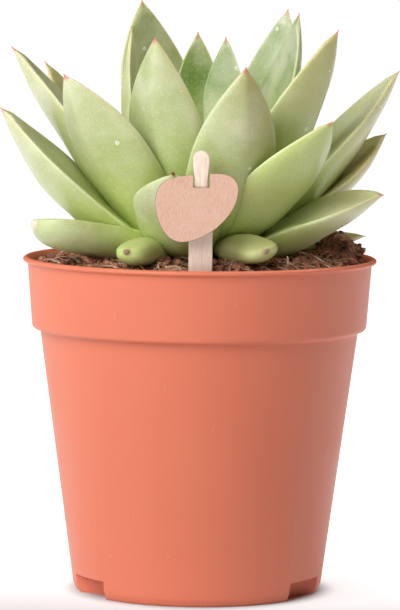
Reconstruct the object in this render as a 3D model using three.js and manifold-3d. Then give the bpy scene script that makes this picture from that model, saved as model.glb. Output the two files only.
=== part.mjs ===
// Rosette succulent growing in a plastic nursery pot, with a wooden stake and a plain tag.
// Millimetres, +Z up. Heights are measured from the ground, and plan positions from the pot's axis.
// At the end everything is shifted so that the origin is the bottom centre of the whole object's box.

import * as THREE from 'three';
import { mergeVertices } from 'three/addons/utils/BufferGeometryUtils.js';
import Module from 'manifold-3d';

// Clearance between pieces that touch, and the tolerance for welding a mesh's vertices
const GAP = 0.35;
const WELD = 1e-4;

// Pot: a 12 cm nursery pot
const RIM_RADIUS = 60;
const POT_HEIGHT = 113.5;
const LIP_HEIGHT = 1.6;
const COLLAR_TOP_RADIUS = 58.4;
const COLLAR_FOOT_RADIUS = 56.8;
const COLLAR_FOOT_Z = 89.3;
const BODY_TOP_RADIUS = 54.0;
const FOOT_RADIUS = 42.0;
const EDGE_ROUND = 0.7;
const FOOT_ROUND = 1.2;
const FOOT_ROUND_Z = 2.6;
const WALL = 1.1;
const FLOOR_Z = 6.4;
const FLOOR_THICKNESS = 1.3;
const POT_SEGMENTS = 48;

// The three scalloped notches in the foot ring, and the drainage holes in the floor
const NOTCH_ANGLES = [-30, 90, 210];
const NOTCH_RADIUS = 11;
const NOTCH_AXIS_RADIUS = 47;
const NOTCH_SEGMENTS = 24;
const DRAIN_RADIUS = 3.8;
const DRAIN_RING_RADIUS = 27;
const DRAIN_COUNT = 6;
const DRAIN_SEGMENTS = 12;

// Soil: [distance from the axis, height of its top], a low mound that dips to the wall and to the stem
// and the waves on it as turns per mm along X and along Y
const SOIL_PROFILE = [[11, 110.6], [24, 112.6], [37, 113.9], [44, 113.3], [49, 112.3], [54, 110.8]];
const SOIL_EDGE_Z = 109.2;
const SOIL_EDGE_INSET = 0.2;
const SOIL_STEP = 2.2;
const SOIL_WAVES = [[0.31, 0.17], [-0.11, 0.37], [0.53, 0.53]];
const SOIL_WAVE_HEIGHT = 0.27;
const SOIL_SEGMENTS = 48;
const SOIL_MOUND = { x: 48, y: 8, radius: 10.5, height: 10 };

// Crown: the stem in the soil and the dome that carries the leaves, as [radius, height] from the foot up
const STEM_RADIUS = 9;
const STEM_FOOT_Z = 90;
const CROWN_PROFILE = [[STEM_RADIUS, STEM_FOOT_Z + 2], [STEM_RADIUS, 111], [13, 115.5], [15.5, 120],
  [14.5, 126], [10.5, 133], [6, 138.5]];
const CROWN_TOP_Z = 141;
const CROWN_CENTRE = [2, 0];
const CROWN_SEGMENTS = 20;
const STEM_HOLE_TOP_Z = 130;

// Golden angle between one young leaf and the next, in degrees
const GOLDEN_ANGLE = 137.508;

// Leaves that show from the front, from the outermost to the innermost. tip and root are points on the
// middle line of the upper face, and width is the widest part of the blade. bow is how far the middle line
// sags below its chord, roll turns the blade about its length in degrees, fat is thickness over width,
// dish is the hollow of the upper face over width (negative is domed), blunt rounds the tip, and an end
// below 1 makes it a stub.
const LEAVES = [
  { tip: [-23.8, -53, 119], root: [-12, -20, 116.8], width: 11.5, fat: 0.43, dish: -0.36, blunt: 4,
    end: 0.5 },
  { tip: [23, -49.5, 119.6], root: [6, -18, 119], width: 12, roll: 15, fat: 0.36, dish: -0.3, blunt: 4,
    end: 0.5 },
  { tip: [-54.9, -35, 126], root: [-12, -18, 119.1], width: 20.5, bow: -1, roll: 25, fat: 0.42, blunt: 3,
    end: 0.8 },
  { tip: [56.9, 22, 119.4], root: [13, 8, 118.1], width: 16, roll: 20 },
  { tip: [60.8, -28, 136.9], root: [11, -12, 117.1], width: 28, bow: -3, roll: 16, fat: 0.4, blunt: 2.3 },
  { tip: [-9, -52, 144.4], root: [-5, -18, 119.1], width: 29, bow: 3, blunt: 3.5 },
  { tip: [63.3, 14, 155.1], root: [14, 4, 120.1], width: 31, bow: 0.2, roll: 10, fat: 0.34, blunt: 2.1 },
  { tip: [42.9, -44, 161.8], root: [5, -14, 121.1], width: 33 },
  { tip: [-66.4, -28, 164.6], root: [-15, -18, 119.1], width: 32, roll: -13, fat: 0.38 },
  { tip: [67.1, 8, 176.6], root: [16, -2, 120.1], width: 27, bow: -1.3, roll: 5, fat: 0.37, blunt: 2.1 },
  { tip: [-45.1, -40, 176.2], root: [-9, -19, 120.1], width: 31, roll: 20 },
  { tip: [-63.3, -18, 184.5], root: [-12, -8, 121.1], width: 30, bow: -2.4, roll: -12, fat: 0.35 },
  { tip: [14.4, -50, 179.4], root: [0.5, -16, 120.1], width: 30, bow: 6 },
  { tip: [-54.1, 30, 178.1], root: [-8, 6, 126.1], width: 24, bow: 2 },
  { tip: [45.1, -26, 191.1], root: [7, -7, 122.1], width: 34 },
  { tip: [-15.4, -40, 188.6], root: [-1, -14, 121.1], width: 27.5, bow: 4.5 },
  { tip: [33, 12, 195.8], root: [5, 2, 126.1], width: 29, bow: 3 },
  { tip: [29.5, 25, 196.9], root: [3, 7, 128.1], width: 33, bow: 3 },
  { tip: [-20.9, 35, 199.4], root: [-1, 8, 128.1], width: 31, bow: 3 },
  { tip: [-23.7, 5, 191], root: [-10, 3, 124.1], width: 19, bow: 4 },
  { tip: [8.2, 10, 187.5], root: [4, 3, 138.1], width: 16, bow: 2 },
  { tip: [-1.4, 14, 189], root: [0, 5, 138.1], width: 16, bow: 2 },
];

// Leaves on the far side, in tiers: count leaves from the angle from, step degrees apart. reach and height
// place the tips, rootReach and rootHeight the roots.
const BACK_TIERS = [
  { count: 5, from: 28, step: 27, reach: 62, height: 139, rootReach: 14, rootHeight: 119, width: 26, bow: 3 },
  { count: 4, from: 58, step: 27, reach: 56, height: 161, rootReach: 11, rootHeight: 122, width: 26, bow: 3 },
  { count: 2, from: 78, step: 26, reach: 36, height: 172, rootReach: 8, rootHeight: 127, width: 22, bow: 3 },
];
const BACK_JITTER_ANGLE = 7;
const BACK_JITTER_LENGTH = 7;
const SPREAD_STEP = 12.9898;
const SPREAD_SCALE = 43758.5453;

// Heart leaves on the crown, from the outermost in. Leaf slots already taken by larger leaves are skipped.
const HEART = { count: 7, from: 196, skip: [2], reach: 13, reachStep: -1.2, height: 153, heightStep: 1.2,
  rootReach: 3, rootHeight: 134, width: 11.5, bow: 1.5 };

// Facets of a full-size leaf and of a heart leaf: rings along it, crowded towards the tip, and sides round it
const LEAF_RINGS = 9;
const LEAF_SIDES = 10;
const HEART_RINGS = 7;
const HEART_SIDES = 8;
const CROWDING = 1.25;

// Shape of a leaf as shares of its own length, width or thickness
const ROOT_WIDTH = 0.62;
const WIDEST_AT = 0.56;
const SWELL = 1.1;
const FAT = 0.31;
const ROOT_THICKNESS = 0.7;
const THICKEST_AT = 0.35;
const THINS_OVER = 0.7;
const THINNING = 2.4;
const DISH = 0.06;
const DISH_SPREAD = 0.7;
const RIM = 0.035;
const BLUNT = 1.85;

// Stake: a flat stick that leans towards the front, with its widths as [height, half width]
const STAKE_PROFILE = [[64, 1.6], [72, 3.9], [126, 3.9], [137, 2.7], [141, 2.1], [144.6, 2.15],
  [147.5, 2.65]];
const STAKE_HEAD_Z = 150.2;
const STAKE_HEAD_RADIUS = 2.7;
const STAKE_HEAD_STEPS = 8;
const STAKE_THICKNESS = 1.5;
const STAKE_GROUND = [0.2, -51.6, 113.5];
const STAKE_LEAN = 8;

// Tag: a thin rounded drop shape, as [x, z] points, each curve with its two handles and its end. The stake's
// neck passes forwards through a slot that is open at the tag's top edge.
const TAG_START = [-6.1, 122.8];
const TAG_CURVES = [
  [[1.5, 122.8], [12.2, 131], [12.3, 139.8]],
  [[12.4, 142.8], [10.2, 145.1], [5.7, 145.2]],
  [[1, 145.3], [-6, 144.7], [-9.9, 143.4]],
  [[-13, 142.4], [-14.7, 139.5], [-14.7, 135.7]],
  [[-14.7, 130.4], [-11.6, 122.8], TAG_START],
];
const TAG_THICKNESS = 0.8;
const TAG_GAP = 0.45;
const TAG_LEAN = -6;
const SLOT_FLOOR_Z = 140.6;
const SLOT_LEFT = -2.4;
const SLOT_RIGHT = 2.9;
const SLOT_REACH = 12;
const TAG_CURVE_STEPS = 6;

// Colours and finishes
const TERRACOTTA = { color: 0xd9795a, roughness: 0.45, metalness: 0 };
const PEAT = { color: 0x3a2a20, roughness: 1, metalness: 0 };
const LEAF_GREEN = { color: 0xa9bd83, roughness: 0.5, metalness: 0 };
const HEART_GREEN = { color: 0x8fb067, roughness: 0.5, metalness: 0 };
const PALE_WOOD = { color: 0xeed3b8, roughness: 0.7, metalness: 0 };
const TAG_WOOD = { color: 0xdfb69c, roughness: 0.75, metalness: 0 };

const wasm = await Module();
wasm.setup();

function solidOf(positions, triangles) {
  return new wasm.Manifold(new wasm.Mesh({
    numProp: 3,
    vertProperties: new Float32Array(positions),
    triVerts: new Uint32Array(triangles),
  }));
}

// A closed geometry as a solid, with its vertices shared and its flat triangles left out
function solidFrom(geometry) {
  const bare = geometry.clone();
  for (const name of ['normal', 'uv']) {
    bare.deleteAttribute(name);
  }
  const welded = mergeVertices(bare, WELD);
  const corners = welded.index.array;
  const kept = [];
  for (let i = 0; i < corners.length; i += 3) {
    const [a, b, c] = corners.slice(i, i + 3);
    if (a !== b && b !== c && c !== a) {
      kept.push(a, b, c);
    }
  }
  return solidOf(welded.attributes.position.array, kept);
}

function geometryFrom(solid) {
  const mesh = solid.getMesh();
  const geometry = new THREE.BufferGeometry();
  geometry.setAttribute('position', new THREE.BufferAttribute(mesh.vertProperties, 3));
  geometry.setIndex(new THREE.BufferAttribute(mesh.triVerts, 1));
  geometry.computeVertexNormals();
  return geometry;
}

// The largest piece of a solid, without the scraps that a cut can leave
function largestPiece(solid) {
  return solid.decompose().reduce((best, piece) => (piece.volume() > best.volume() ? piece : best));
}

// A tube through closed rings of points, with a point at each end
function tubeSolid(rings, start, end) {
  const sides = rings[0].length;
  const points = [start, ...rings.flat(), end];
  const triangles = [];
  const at = (ring, side) => 1 + ring * sides + (side % sides);
  for (let side = 0; side < sides; side += 1) {
    triangles.push(0, at(0, side + 1), at(0, side));
    for (let ring = 0; ring + 1 < rings.length; ring += 1) {
      triangles.push(at(ring, side), at(ring, side + 1), at(ring + 1, side + 1));
      triangles.push(at(ring, side), at(ring + 1, side + 1), at(ring + 1, side));
    }
    triangles.push(points.length - 1, at(rings.length - 1, side), at(rings.length - 1, side + 1));
  }
  return solidOf(points.flatMap((point) => point.toArray()), triangles);
}

// Share of the half width at t along a leaf: it swells from the root to WIDEST_AT and closes at the tip
function widthShare(t, blunt, end) {
  if (t < WIDEST_AT) {
    return ROOT_WIDTH + (1 - ROOT_WIDTH) * Math.sin((Math.PI / 2) * (t / WIDEST_AT)) ** SWELL;
  }
  return (1 - (1 - (1 - t) / (1 - WIDEST_AT)) ** blunt) ** end;
}

// Share of the thickness at t along a leaf: a little thinner at the root, and it thins out towards the tip
function thicknessShare(t, end) {
  const rise = Math.sin((Math.PI / 2) * Math.min(t / THICKEST_AT, 1));
  const root = ROOT_THICKNESS + (1 - ROOT_THICKNESS) * rise;
  return root * (1 - (1 - Math.min((1 - t) / THINS_OVER, 1)) ** THINNING) ** end;
}

// A leaf as a tube of cross-sections along a bent middle line. Each section has a shallow dished upper face,
// a rounded rim and a deep rounded underside. grow makes every face stand that far further out, and such a
// grown leaf has its last section at the tip itself.
function leafSolid(leaf, grow = 0, rings = LEAF_RINGS, sides = LEAF_SIDES) {
  const { width, bow = 0, roll = 0, fat = FAT, dish = DISH, blunt = BLUNT, end = 1 } = leaf;
  const root = new THREE.Vector3(...leaf.root);
  const tip = new THREE.Vector3(...leaf.tip);
  const chord = tip.clone().sub(root);
  const along = chord.clone().normalize();
  const up = new THREE.Vector3(0, 0, 1).addScaledVector(along, -along.z).normalize();
  const control = root.clone().addScaledVector(chord, 0.5).addScaledVector(up, -2 * bow);
  const spine = new THREE.QuadraticBezierCurve3(root, control, tip);
  const turn = THREE.MathUtils.degToRad(roll);
  const steps = grow > 0 ? rings - 1 : rings;
  const sections = [];
  for (let i = 0; i < rings; i += 1) {
    const t = 1 - (1 - i / steps) ** CROWDING;
    const tangent = spine.getTangent(t);
    const level = up.clone().addScaledVector(tangent, -tangent.dot(up)).normalize();
    const across = new THREE.Vector3().crossVectors(tangent, level);
    const face = level.clone().multiplyScalar(Math.cos(turn)).addScaledVector(across, Math.sin(turn));
    const side = across.clone().multiplyScalar(Math.cos(turn)).addScaledVector(level, -Math.sin(turn));
    const half = (width / 2) * widthShare(t, blunt, end);
    const deep = width * fat * thicknessShare(t, end) + grow;
    const hollow = width * dish * Math.sin(Math.PI * t) ** DISH_SPREAD;
    const rim = Math.min(width * RIM, half / 2) + grow;
    const centre = spine.getPoint(t);
    const section = [];
    for (let j = 0; j < sides; j += 1) {
      const angle = (2 * Math.PI * j) / sides;
      const sine = Math.sin(angle);
      const height = sine >= 0 ? rim * sine - hollow * sine * sine : deep * sine;
      section.push(centre.clone()
        .addScaledVector(side, (half + grow) * Math.cos(angle))
        .addScaledVector(face, height));
    }
    sections.push(section.reverse());
  }
  const first = root.clone().addScaledVector(spine.getTangent(0), -grow);
  const last = tip.clone().addScaledVector(spine.getTangent(1), grow);
  return tubeSolid(sections, first, last);
}

// A fixed number between -0.5 and 0.5 for the whole number k, which looks random from one k to the next
function spread(k) {
  const wave = Math.sin(k * SPREAD_STEP) * SPREAD_SCALE;
  return wave - Math.floor(wave) - 0.5;
}

function pointAt(degrees, reach, height) {
  const angle = THREE.MathUtils.degToRad(degrees);
  return [CROWN_CENTRE[0] + reach * Math.cos(angle), CROWN_CENTRE[1] + reach * Math.sin(angle), height];
}

function backLeaves() {
  const leaves = [];
  for (const tier of BACK_TIERS) {
    for (let i = 0; i < tier.count; i += 1) {
      const k = leaves.length * 3 + 1;
      const angle = tier.from + i * tier.step + spread(k) * BACK_JITTER_ANGLE;
      const reach = tier.reach + spread(k + 1) * BACK_JITTER_LENGTH;
      const height = tier.height + spread(k + 2) * BACK_JITTER_LENGTH;
      leaves.push({
        tip: pointAt(angle, reach, height),
        root: pointAt(angle, tier.rootReach, tier.rootHeight),
        width: tier.width,
        bow: tier.bow,
      });
    }
  }
  return leaves;
}

function heartLeaves() {
  const leaves = [];
  for (let i = 0; i < HEART.count; i += 1) {
    if (!HEART.skip.includes(i)) {
      const angle = HEART.from + i * GOLDEN_ANGLE;
      leaves.push({
        tip: pointAt(angle, HEART.reach + i * HEART.reachStep, HEART.height + i * HEART.heightStep),
        root: pointAt(angle, HEART.rootReach, HEART.rootHeight),
        width: HEART.width,
        bow: HEART.bow,
      });
    }
  }
  return leaves;
}

function latheSolid(profile, segments) {
  const points = profile.map(([radius, z]) => new THREE.Vector2(radius, z));
  const geometry = new THREE.LatheGeometry(points, segments);
  geometry.rotateX(Math.PI / 2);
  return solidFrom(geometry);
}

function cylinderSolid(radius, low, high, x, y, segments) {
  const geometry = new THREE.CylinderGeometry(radius, radius, high - low, segments);
  geometry.rotateX(Math.PI / 2);
  geometry.translate(x, y, (low + high) / 2);
  return solidFrom(geometry);
}

function crownSolid(grow = 0) {
  const profile = CROWN_PROFILE.map(([radius, z]) => [radius + grow, z]);
  const dome = latheSolid([[0, STEM_FOOT_Z - grow], ...profile, [0, CROWN_TOP_Z + grow]], CROWN_SEGMENTS)
    .translate([CROWN_CENTRE[0], CROWN_CENTRE[1], 0]);
  return heartLeaves().reduce(
    (crown, leaf) => crown.add(leafSolid(leaf, grow, HEART_RINGS, HEART_SIDES)),
    dome,
  );
}

// Outer radius of the pot's body below the collar at height z
function bodyRadius(z) {
  return FOOT_RADIUS + (BODY_TOP_RADIUS - FOOT_RADIUS) * (z / COLLAR_FOOT_Z);
}

function potSolid() {
  const lipFoot = POT_HEIGHT - LIP_HEIGHT;
  const floorTop = FLOOR_Z + FLOOR_THICKNESS;
  const outside = [
    [FOOT_RADIUS - FOOT_ROUND, 0], [FOOT_RADIUS - FOOT_ROUND / 2, FOOT_ROUND / 2],
    [bodyRadius(FOOT_ROUND_Z), FOOT_ROUND_Z],
    [BODY_TOP_RADIUS, COLLAR_FOOT_Z - EDGE_ROUND], [BODY_TOP_RADIUS + EDGE_ROUND, COLLAR_FOOT_Z],
    [COLLAR_FOOT_RADIUS - EDGE_ROUND, COLLAR_FOOT_Z], [COLLAR_FOOT_RADIUS, COLLAR_FOOT_Z + EDGE_ROUND],
    [COLLAR_TOP_RADIUS, lipFoot - EDGE_ROUND / 2], [RIM_RADIUS - EDGE_ROUND / 2, lipFoot],
    [RIM_RADIUS, lipFoot + EDGE_ROUND / 2], [RIM_RADIUS, POT_HEIGHT - EDGE_ROUND],
    [RIM_RADIUS - EDGE_ROUND, POT_HEIGHT], [COLLAR_TOP_RADIUS, POT_HEIGHT],
  ];
  const inside = [
    [COLLAR_TOP_RADIUS - WALL, lipFoot], [COLLAR_FOOT_RADIUS - WALL, COLLAR_FOOT_Z + WALL + EDGE_ROUND],
    [BODY_TOP_RADIUS - WALL, COLLAR_FOOT_Z + EDGE_ROUND], [bodyRadius(floorTop) - WALL, floorTop],
    [0, floorTop],
  ];
  const underside = [
    [0, FLOOR_Z], [bodyRadius(FLOOR_Z) - WALL, FLOOR_Z], [bodyRadius(FOOT_ROUND_Z) - WALL, FOOT_ROUND_Z],
    [FOOT_RADIUS - FOOT_ROUND - WALL, 0],
  ];
  let pot = latheSolid([...underside, ...outside, ...inside], POT_SEGMENTS);
  for (const degrees of NOTCH_ANGLES) {
    const angle = THREE.MathUtils.degToRad(degrees);
    const x = NOTCH_AXIS_RADIUS * Math.cos(angle);
    const y = NOTCH_AXIS_RADIUS * Math.sin(angle);
    const wallTop = FLOOR_Z + FLOOR_THICKNESS / 4;
    const recess = cylinderSolid(NOTCH_RADIUS, -1, FLOOR_Z, x, y, NOTCH_SEGMENTS);
    const recessWall = cylinderSolid(NOTCH_RADIUS + WALL, 0, wallTop, x, y, NOTCH_SEGMENTS);
    const inFoot = cylinderSolid(FOOT_RADIUS - FOOT_ROUND, 0, wallTop, 0, 0, POT_SEGMENTS);
    pot = pot.add(recessWall.intersect(inFoot)).subtract(recess);
  }
  for (let i = 0; i < DRAIN_COUNT; i += 1) {
    const angle = ((i + 0.5) * 2 * Math.PI) / DRAIN_COUNT;
    const x = DRAIN_RING_RADIUS * Math.cos(angle);
    const y = DRAIN_RING_RADIUS * Math.sin(angle);
    pot = pot.subtract(cylinderSolid(DRAIN_RADIUS, FLOOR_Z - 1, floorTop + 1, x, y, DRAIN_SEGMENTS));
  }
  return pot;
}

// Low waves over the soil, with a small mound at the back right
function soilLift(x, y) {
  const waves = SOIL_WAVES.reduce((sum, [alongX, alongY]) => sum + Math.sin(x * alongX + y * alongY), 0);
  const away = Math.hypot(x - SOIL_MOUND.x, y - SOIL_MOUND.y) / SOIL_MOUND.radius;
  return SOIL_WAVE_HEIGHT * waves + SOIL_MOUND.height * Math.max(0, 1 - away * away) ** 2;
}

function soilSolid() {
  const clear = WALL + GAP;
  const floorTop = FLOOR_Z + FLOOR_THICKNESS + GAP;
  const edge = COLLAR_TOP_RADIUS - clear - SOIL_EDGE_INSET;
  const profile = [
    [0, floorTop], [bodyRadius(floorTop) - clear, floorTop], [BODY_TOP_RADIUS - clear, COLLAR_FOOT_Z],
    [BODY_TOP_RADIUS - clear, COLLAR_FOOT_Z + SOIL_STEP],
    [COLLAR_FOOT_RADIUS - clear, COLLAR_FOOT_Z + SOIL_STEP + SOIL_EDGE_INSET],
    [edge, SOIL_EDGE_Z], ...[...SOIL_PROFILE].reverse(), [0, SOIL_PROFILE[0][1]],
  ];
  const points = profile.map(([radius, z]) => new THREE.Vector2(radius, z));
  const geometry = new THREE.LatheGeometry(points, SOIL_SEGMENTS);
  geometry.rotateX(Math.PI / 2);
  const place = geometry.attributes.position;
  for (let i = 0; i < place.count; i += 1) {
    if (place.getZ(i) > SOIL_EDGE_Z + GAP) {
      place.setZ(i, place.getZ(i) + soilLift(place.getX(i), place.getY(i)));
    }
  }
  return solidFrom(geometry);
}

// A flat plate from an outline in the X and Z directions, leaning about the X direction at a ground point
function plateSolid(outline, thickness, ground, lean) {
  const shape = new THREE.Shape(outline);
  const geometry = new THREE.ExtrudeGeometry(shape, { depth: thickness, bevelEnabled: false, steps: 1 });
  geometry.translate(0, 0, -thickness / 2);
  geometry.rotateX(Math.PI / 2 + THREE.MathUtils.degToRad(lean));
  geometry.translate(...ground);
  return solidFrom(geometry);
}

function stakeOutline(grow = 0) {
  const right = STAKE_PROFILE.map(([z, half]) => new THREE.Vector2(half + grow, z - STAKE_GROUND[2]));
  right[0].y -= grow;
  const head = [];
  for (let i = 1; i < STAKE_HEAD_STEPS; i += 1) {
    const angle = (Math.PI * i) / STAKE_HEAD_STEPS;
    head.push(new THREE.Vector2(
      (STAKE_HEAD_RADIUS + grow) * Math.cos(angle),
      STAKE_HEAD_Z - STAKE_GROUND[2] + (STAKE_HEAD_RADIUS + grow) * Math.sin(angle),
    ));
  }
  const left = [...right].reverse().map((point) => new THREE.Vector2(-point.x, point.y));
  return [...right, ...head, ...left];
}

function stakeSolid(grow = 0) {
  return plateSolid(stakeOutline(grow), STAKE_THICKNESS + 2 * grow, STAKE_GROUND, STAKE_LEAN);
}

function tagSolid() {
  const fromSlot = ([x, z]) => new THREE.Vector2(x, z - SLOT_FLOOR_Z);
  const path = new THREE.Path();
  path.moveTo(...fromSlot(TAG_START));
  for (const [leave, arrive, end] of TAG_CURVES) {
    path.bezierCurveTo(...fromSlot(leave), ...fromSlot(arrive), ...fromSlot(end));
  }
  const rise = (SLOT_FLOOR_Z - STAKE_GROUND[2]) * Math.tan(THREE.MathUtils.degToRad(STAKE_LEAN));
  const front = STAKE_GROUND[1] - rise - STAKE_THICKNESS / 2;
  const middle = front - TAG_GAP - TAG_THICKNESS / 2;
  const outline = path.getPoints(TAG_CURVE_STEPS).slice(0, -1);
  const plate = plateSolid(outline, TAG_THICKNESS, [0, middle, SLOT_FLOOR_Z], TAG_LEAN);
  const slot = new THREE.BoxGeometry(SLOT_RIGHT - SLOT_LEFT, SLOT_REACH, SLOT_REACH);
  slot.translate((SLOT_LEFT + SLOT_RIGHT) / 2, middle, SLOT_FLOOR_Z + SLOT_REACH / 2);
  return plate.subtract(solidFrom(slot));
}

const group = new THREE.Group();

function addPiece(name, solid, finish) {
  const mesh = new THREE.Mesh(geometryFrom(solid), new THREE.MeshStandardMaterial(finish));
  mesh.name = name;
  group.add(mesh);
}

// Each leaf is trimmed where it would enter the crown, the stake or a leaf that lies outside it
const named = [
  ...backLeaves().slice(0, BACK_TIERS[0].count).map((leaf, i) => [`leaf_back_${i + 1}`, leaf]),
  ...LEAVES.map((leaf, i) => [`leaf_${String(i + 1).padStart(2, '0')}`, leaf]),
  ...backLeaves().slice(BACK_TIERS[0].count)
    .map((leaf, i) => [`leaf_back_${BACK_TIERS[0].count + i + 1}`, leaf]),
];
const cutters = [crownSolid(GAP)];
for (const [name, leaf] of named) {
  const trimmed = cutters.reduce((solid, cutter) => solid.subtract(cutter), leafSolid(leaf));
  addPiece(name, largestPiece(trimmed), LEAF_GREEN);
  cutters.push(leafSolid(leaf, GAP));
}
addPiece('crown', crownSolid(), HEART_GREEN);

const stemHole = cylinderSolid(
  STEM_RADIUS + GAP,
  STEM_FOOT_Z - GAP,
  STEM_HOLE_TOP_Z,
  ...CROWN_CENTRE,
  CROWN_SEGMENTS,
);
const soil = [stemHole, stakeSolid(GAP), ...cutters]
  .reduce((body, cutter) => body.subtract(cutter), soilSolid());
addPiece('soil', largestPiece(soil), PEAT);
addPiece('pot', potSolid(), TERRACOTTA);
addPiece('stake', stakeSolid(), PALE_WOOD);
addPiece('tag', tagSolid(), TAG_WOOD);

// The origin goes to the bottom centre of the whole object's box
const box = new THREE.Box3().setFromObject(group);
const middle = box.getCenter(new THREE.Vector3());
group.position.set(-middle.x, -middle.y, 0);

export default group;
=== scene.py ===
"""Potted Miranda echeveria: a rosette succulent in a plastic nursery pot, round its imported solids.

The file is laid out as an add-on and runs as a script. Lengths in its tables are in millimetres.
Heights are measured from the ground, and plan positions from the pot's axis.
"""

import math

import bpy
import numpy as np
from mathutils import Matrix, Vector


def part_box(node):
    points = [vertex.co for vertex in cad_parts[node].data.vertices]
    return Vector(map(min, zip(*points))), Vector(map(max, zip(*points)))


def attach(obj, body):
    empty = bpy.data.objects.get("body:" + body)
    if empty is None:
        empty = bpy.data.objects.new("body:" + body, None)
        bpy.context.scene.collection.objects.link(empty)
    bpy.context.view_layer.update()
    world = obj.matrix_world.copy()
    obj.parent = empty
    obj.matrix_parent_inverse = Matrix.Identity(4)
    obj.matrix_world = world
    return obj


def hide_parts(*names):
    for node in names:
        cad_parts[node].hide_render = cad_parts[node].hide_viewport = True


bl_info = {
    "name": "Potted Miranda Echeveria",
    "version": (1, 0, 0),
    "blender": (4, 5, 0),
    "location": "3D View > Sidebar > Echeveria",
    "description": "Builds a potted rosette succulent round its packed solids",
    "category": "Add Mesh",
}

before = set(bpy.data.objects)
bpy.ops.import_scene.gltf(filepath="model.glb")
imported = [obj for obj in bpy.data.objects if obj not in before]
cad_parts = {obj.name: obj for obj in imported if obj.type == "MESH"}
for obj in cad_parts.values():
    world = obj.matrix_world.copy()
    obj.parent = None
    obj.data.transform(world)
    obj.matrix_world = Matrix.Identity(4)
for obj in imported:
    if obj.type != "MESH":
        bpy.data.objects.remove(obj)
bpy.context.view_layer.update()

MM = 0.001
BODY = "root"
POT_LOW, POT_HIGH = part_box("pot")
AXIS = np.array([(POT_LOW[0] + POT_HIGH[0]) / 2, (POT_LOW[1] + POT_HIGH[1]) / 2, 0.0])

# Sockets of the colour Mix node: factor, first colour, second colour, and the result
MIX_FACTOR = 0
MIX_FIRST = 6
MIX_SECOND = 7
MIX_RESULT = 2

# Pot: a 12 cm nursery pot
RIM_RADIUS = 60.0
POT_HEIGHT = 113.5
LIP_FOOT_Z = 111.9
COLLAR_TOP_RADIUS = 58.4
COLLAR_FOOT_RADIUS = 56.8
COLLAR_FOOT_Z = 89.3
BODY_TOP_RADIUS = 54.0
FOOT_RADIUS = 42.0
WALL = 1.1
FLOOR_Z = 6.4
FLOOR_TOP_Z = 7.7
POT_COLUMNS = 360
SHARP_ANGLE = 35
NOTCH_ANGLES = (-30, 90, 210)
NOTCH_RADIUS = 11.0
NOTCH_AXIS_RADIUS = 47.0
BEYOND = 1000.0
DRAIN_RADIUS = 3.8
DRAIN_RING_RADIUS = 27.0
DRAIN_COUNT = 6
DRAIN_SIDES = 24

# Soil: its top as (distance from the axis, height), its low waves in radians per mm along x and y, its
# lumps as (height, size, seed), how far they flatten in the band at the wall, the small mound at the back
# right as (x, y, radius, height), and the gap to the pot's wall and floor
SOIL_PROFILE = ((0, 110.6), (11, 110.6), (24, 112.6), (37, 113.9), (44, 113.3), (49, 112.3), (54, 110.8),
                (56.75, 109.2))
SOIL_WAVES = ((0.31, 0.17), (-0.11, 0.37), (0.53, 0.53))
SOIL_WAVE_HEIGHT = 0.27
SOIL_LUMPS = ((0.7, 4.6, 11), (0.45, 2.1, 12), (0.25, 1.0, 13))
SOIL_FLATTENING = 0.6
SOIL_BAND = (52, 56.7)
SOIL_MOUND = (48.0, 8.0, 11.5, 9.5)
SOIL_GAP = 0.35
SOIL_RINGS = 56
SOIL_COLUMNS = 220

# Crown: the stem and the dome that carries the leaves, as (radius, height) from the foot up
CROWN_PROFILE = ((0, 90), (9, 92), (9, 111), (13, 115.5), (15.5, 120), (14.5, 126), (10.5, 133), (6, 138.5),
                 (0, 141))
CROWN_CENTRE = (2.0, 0.0)
CROWN_COLUMNS = 48
GOLDEN_ANGLE = 137.508

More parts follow.
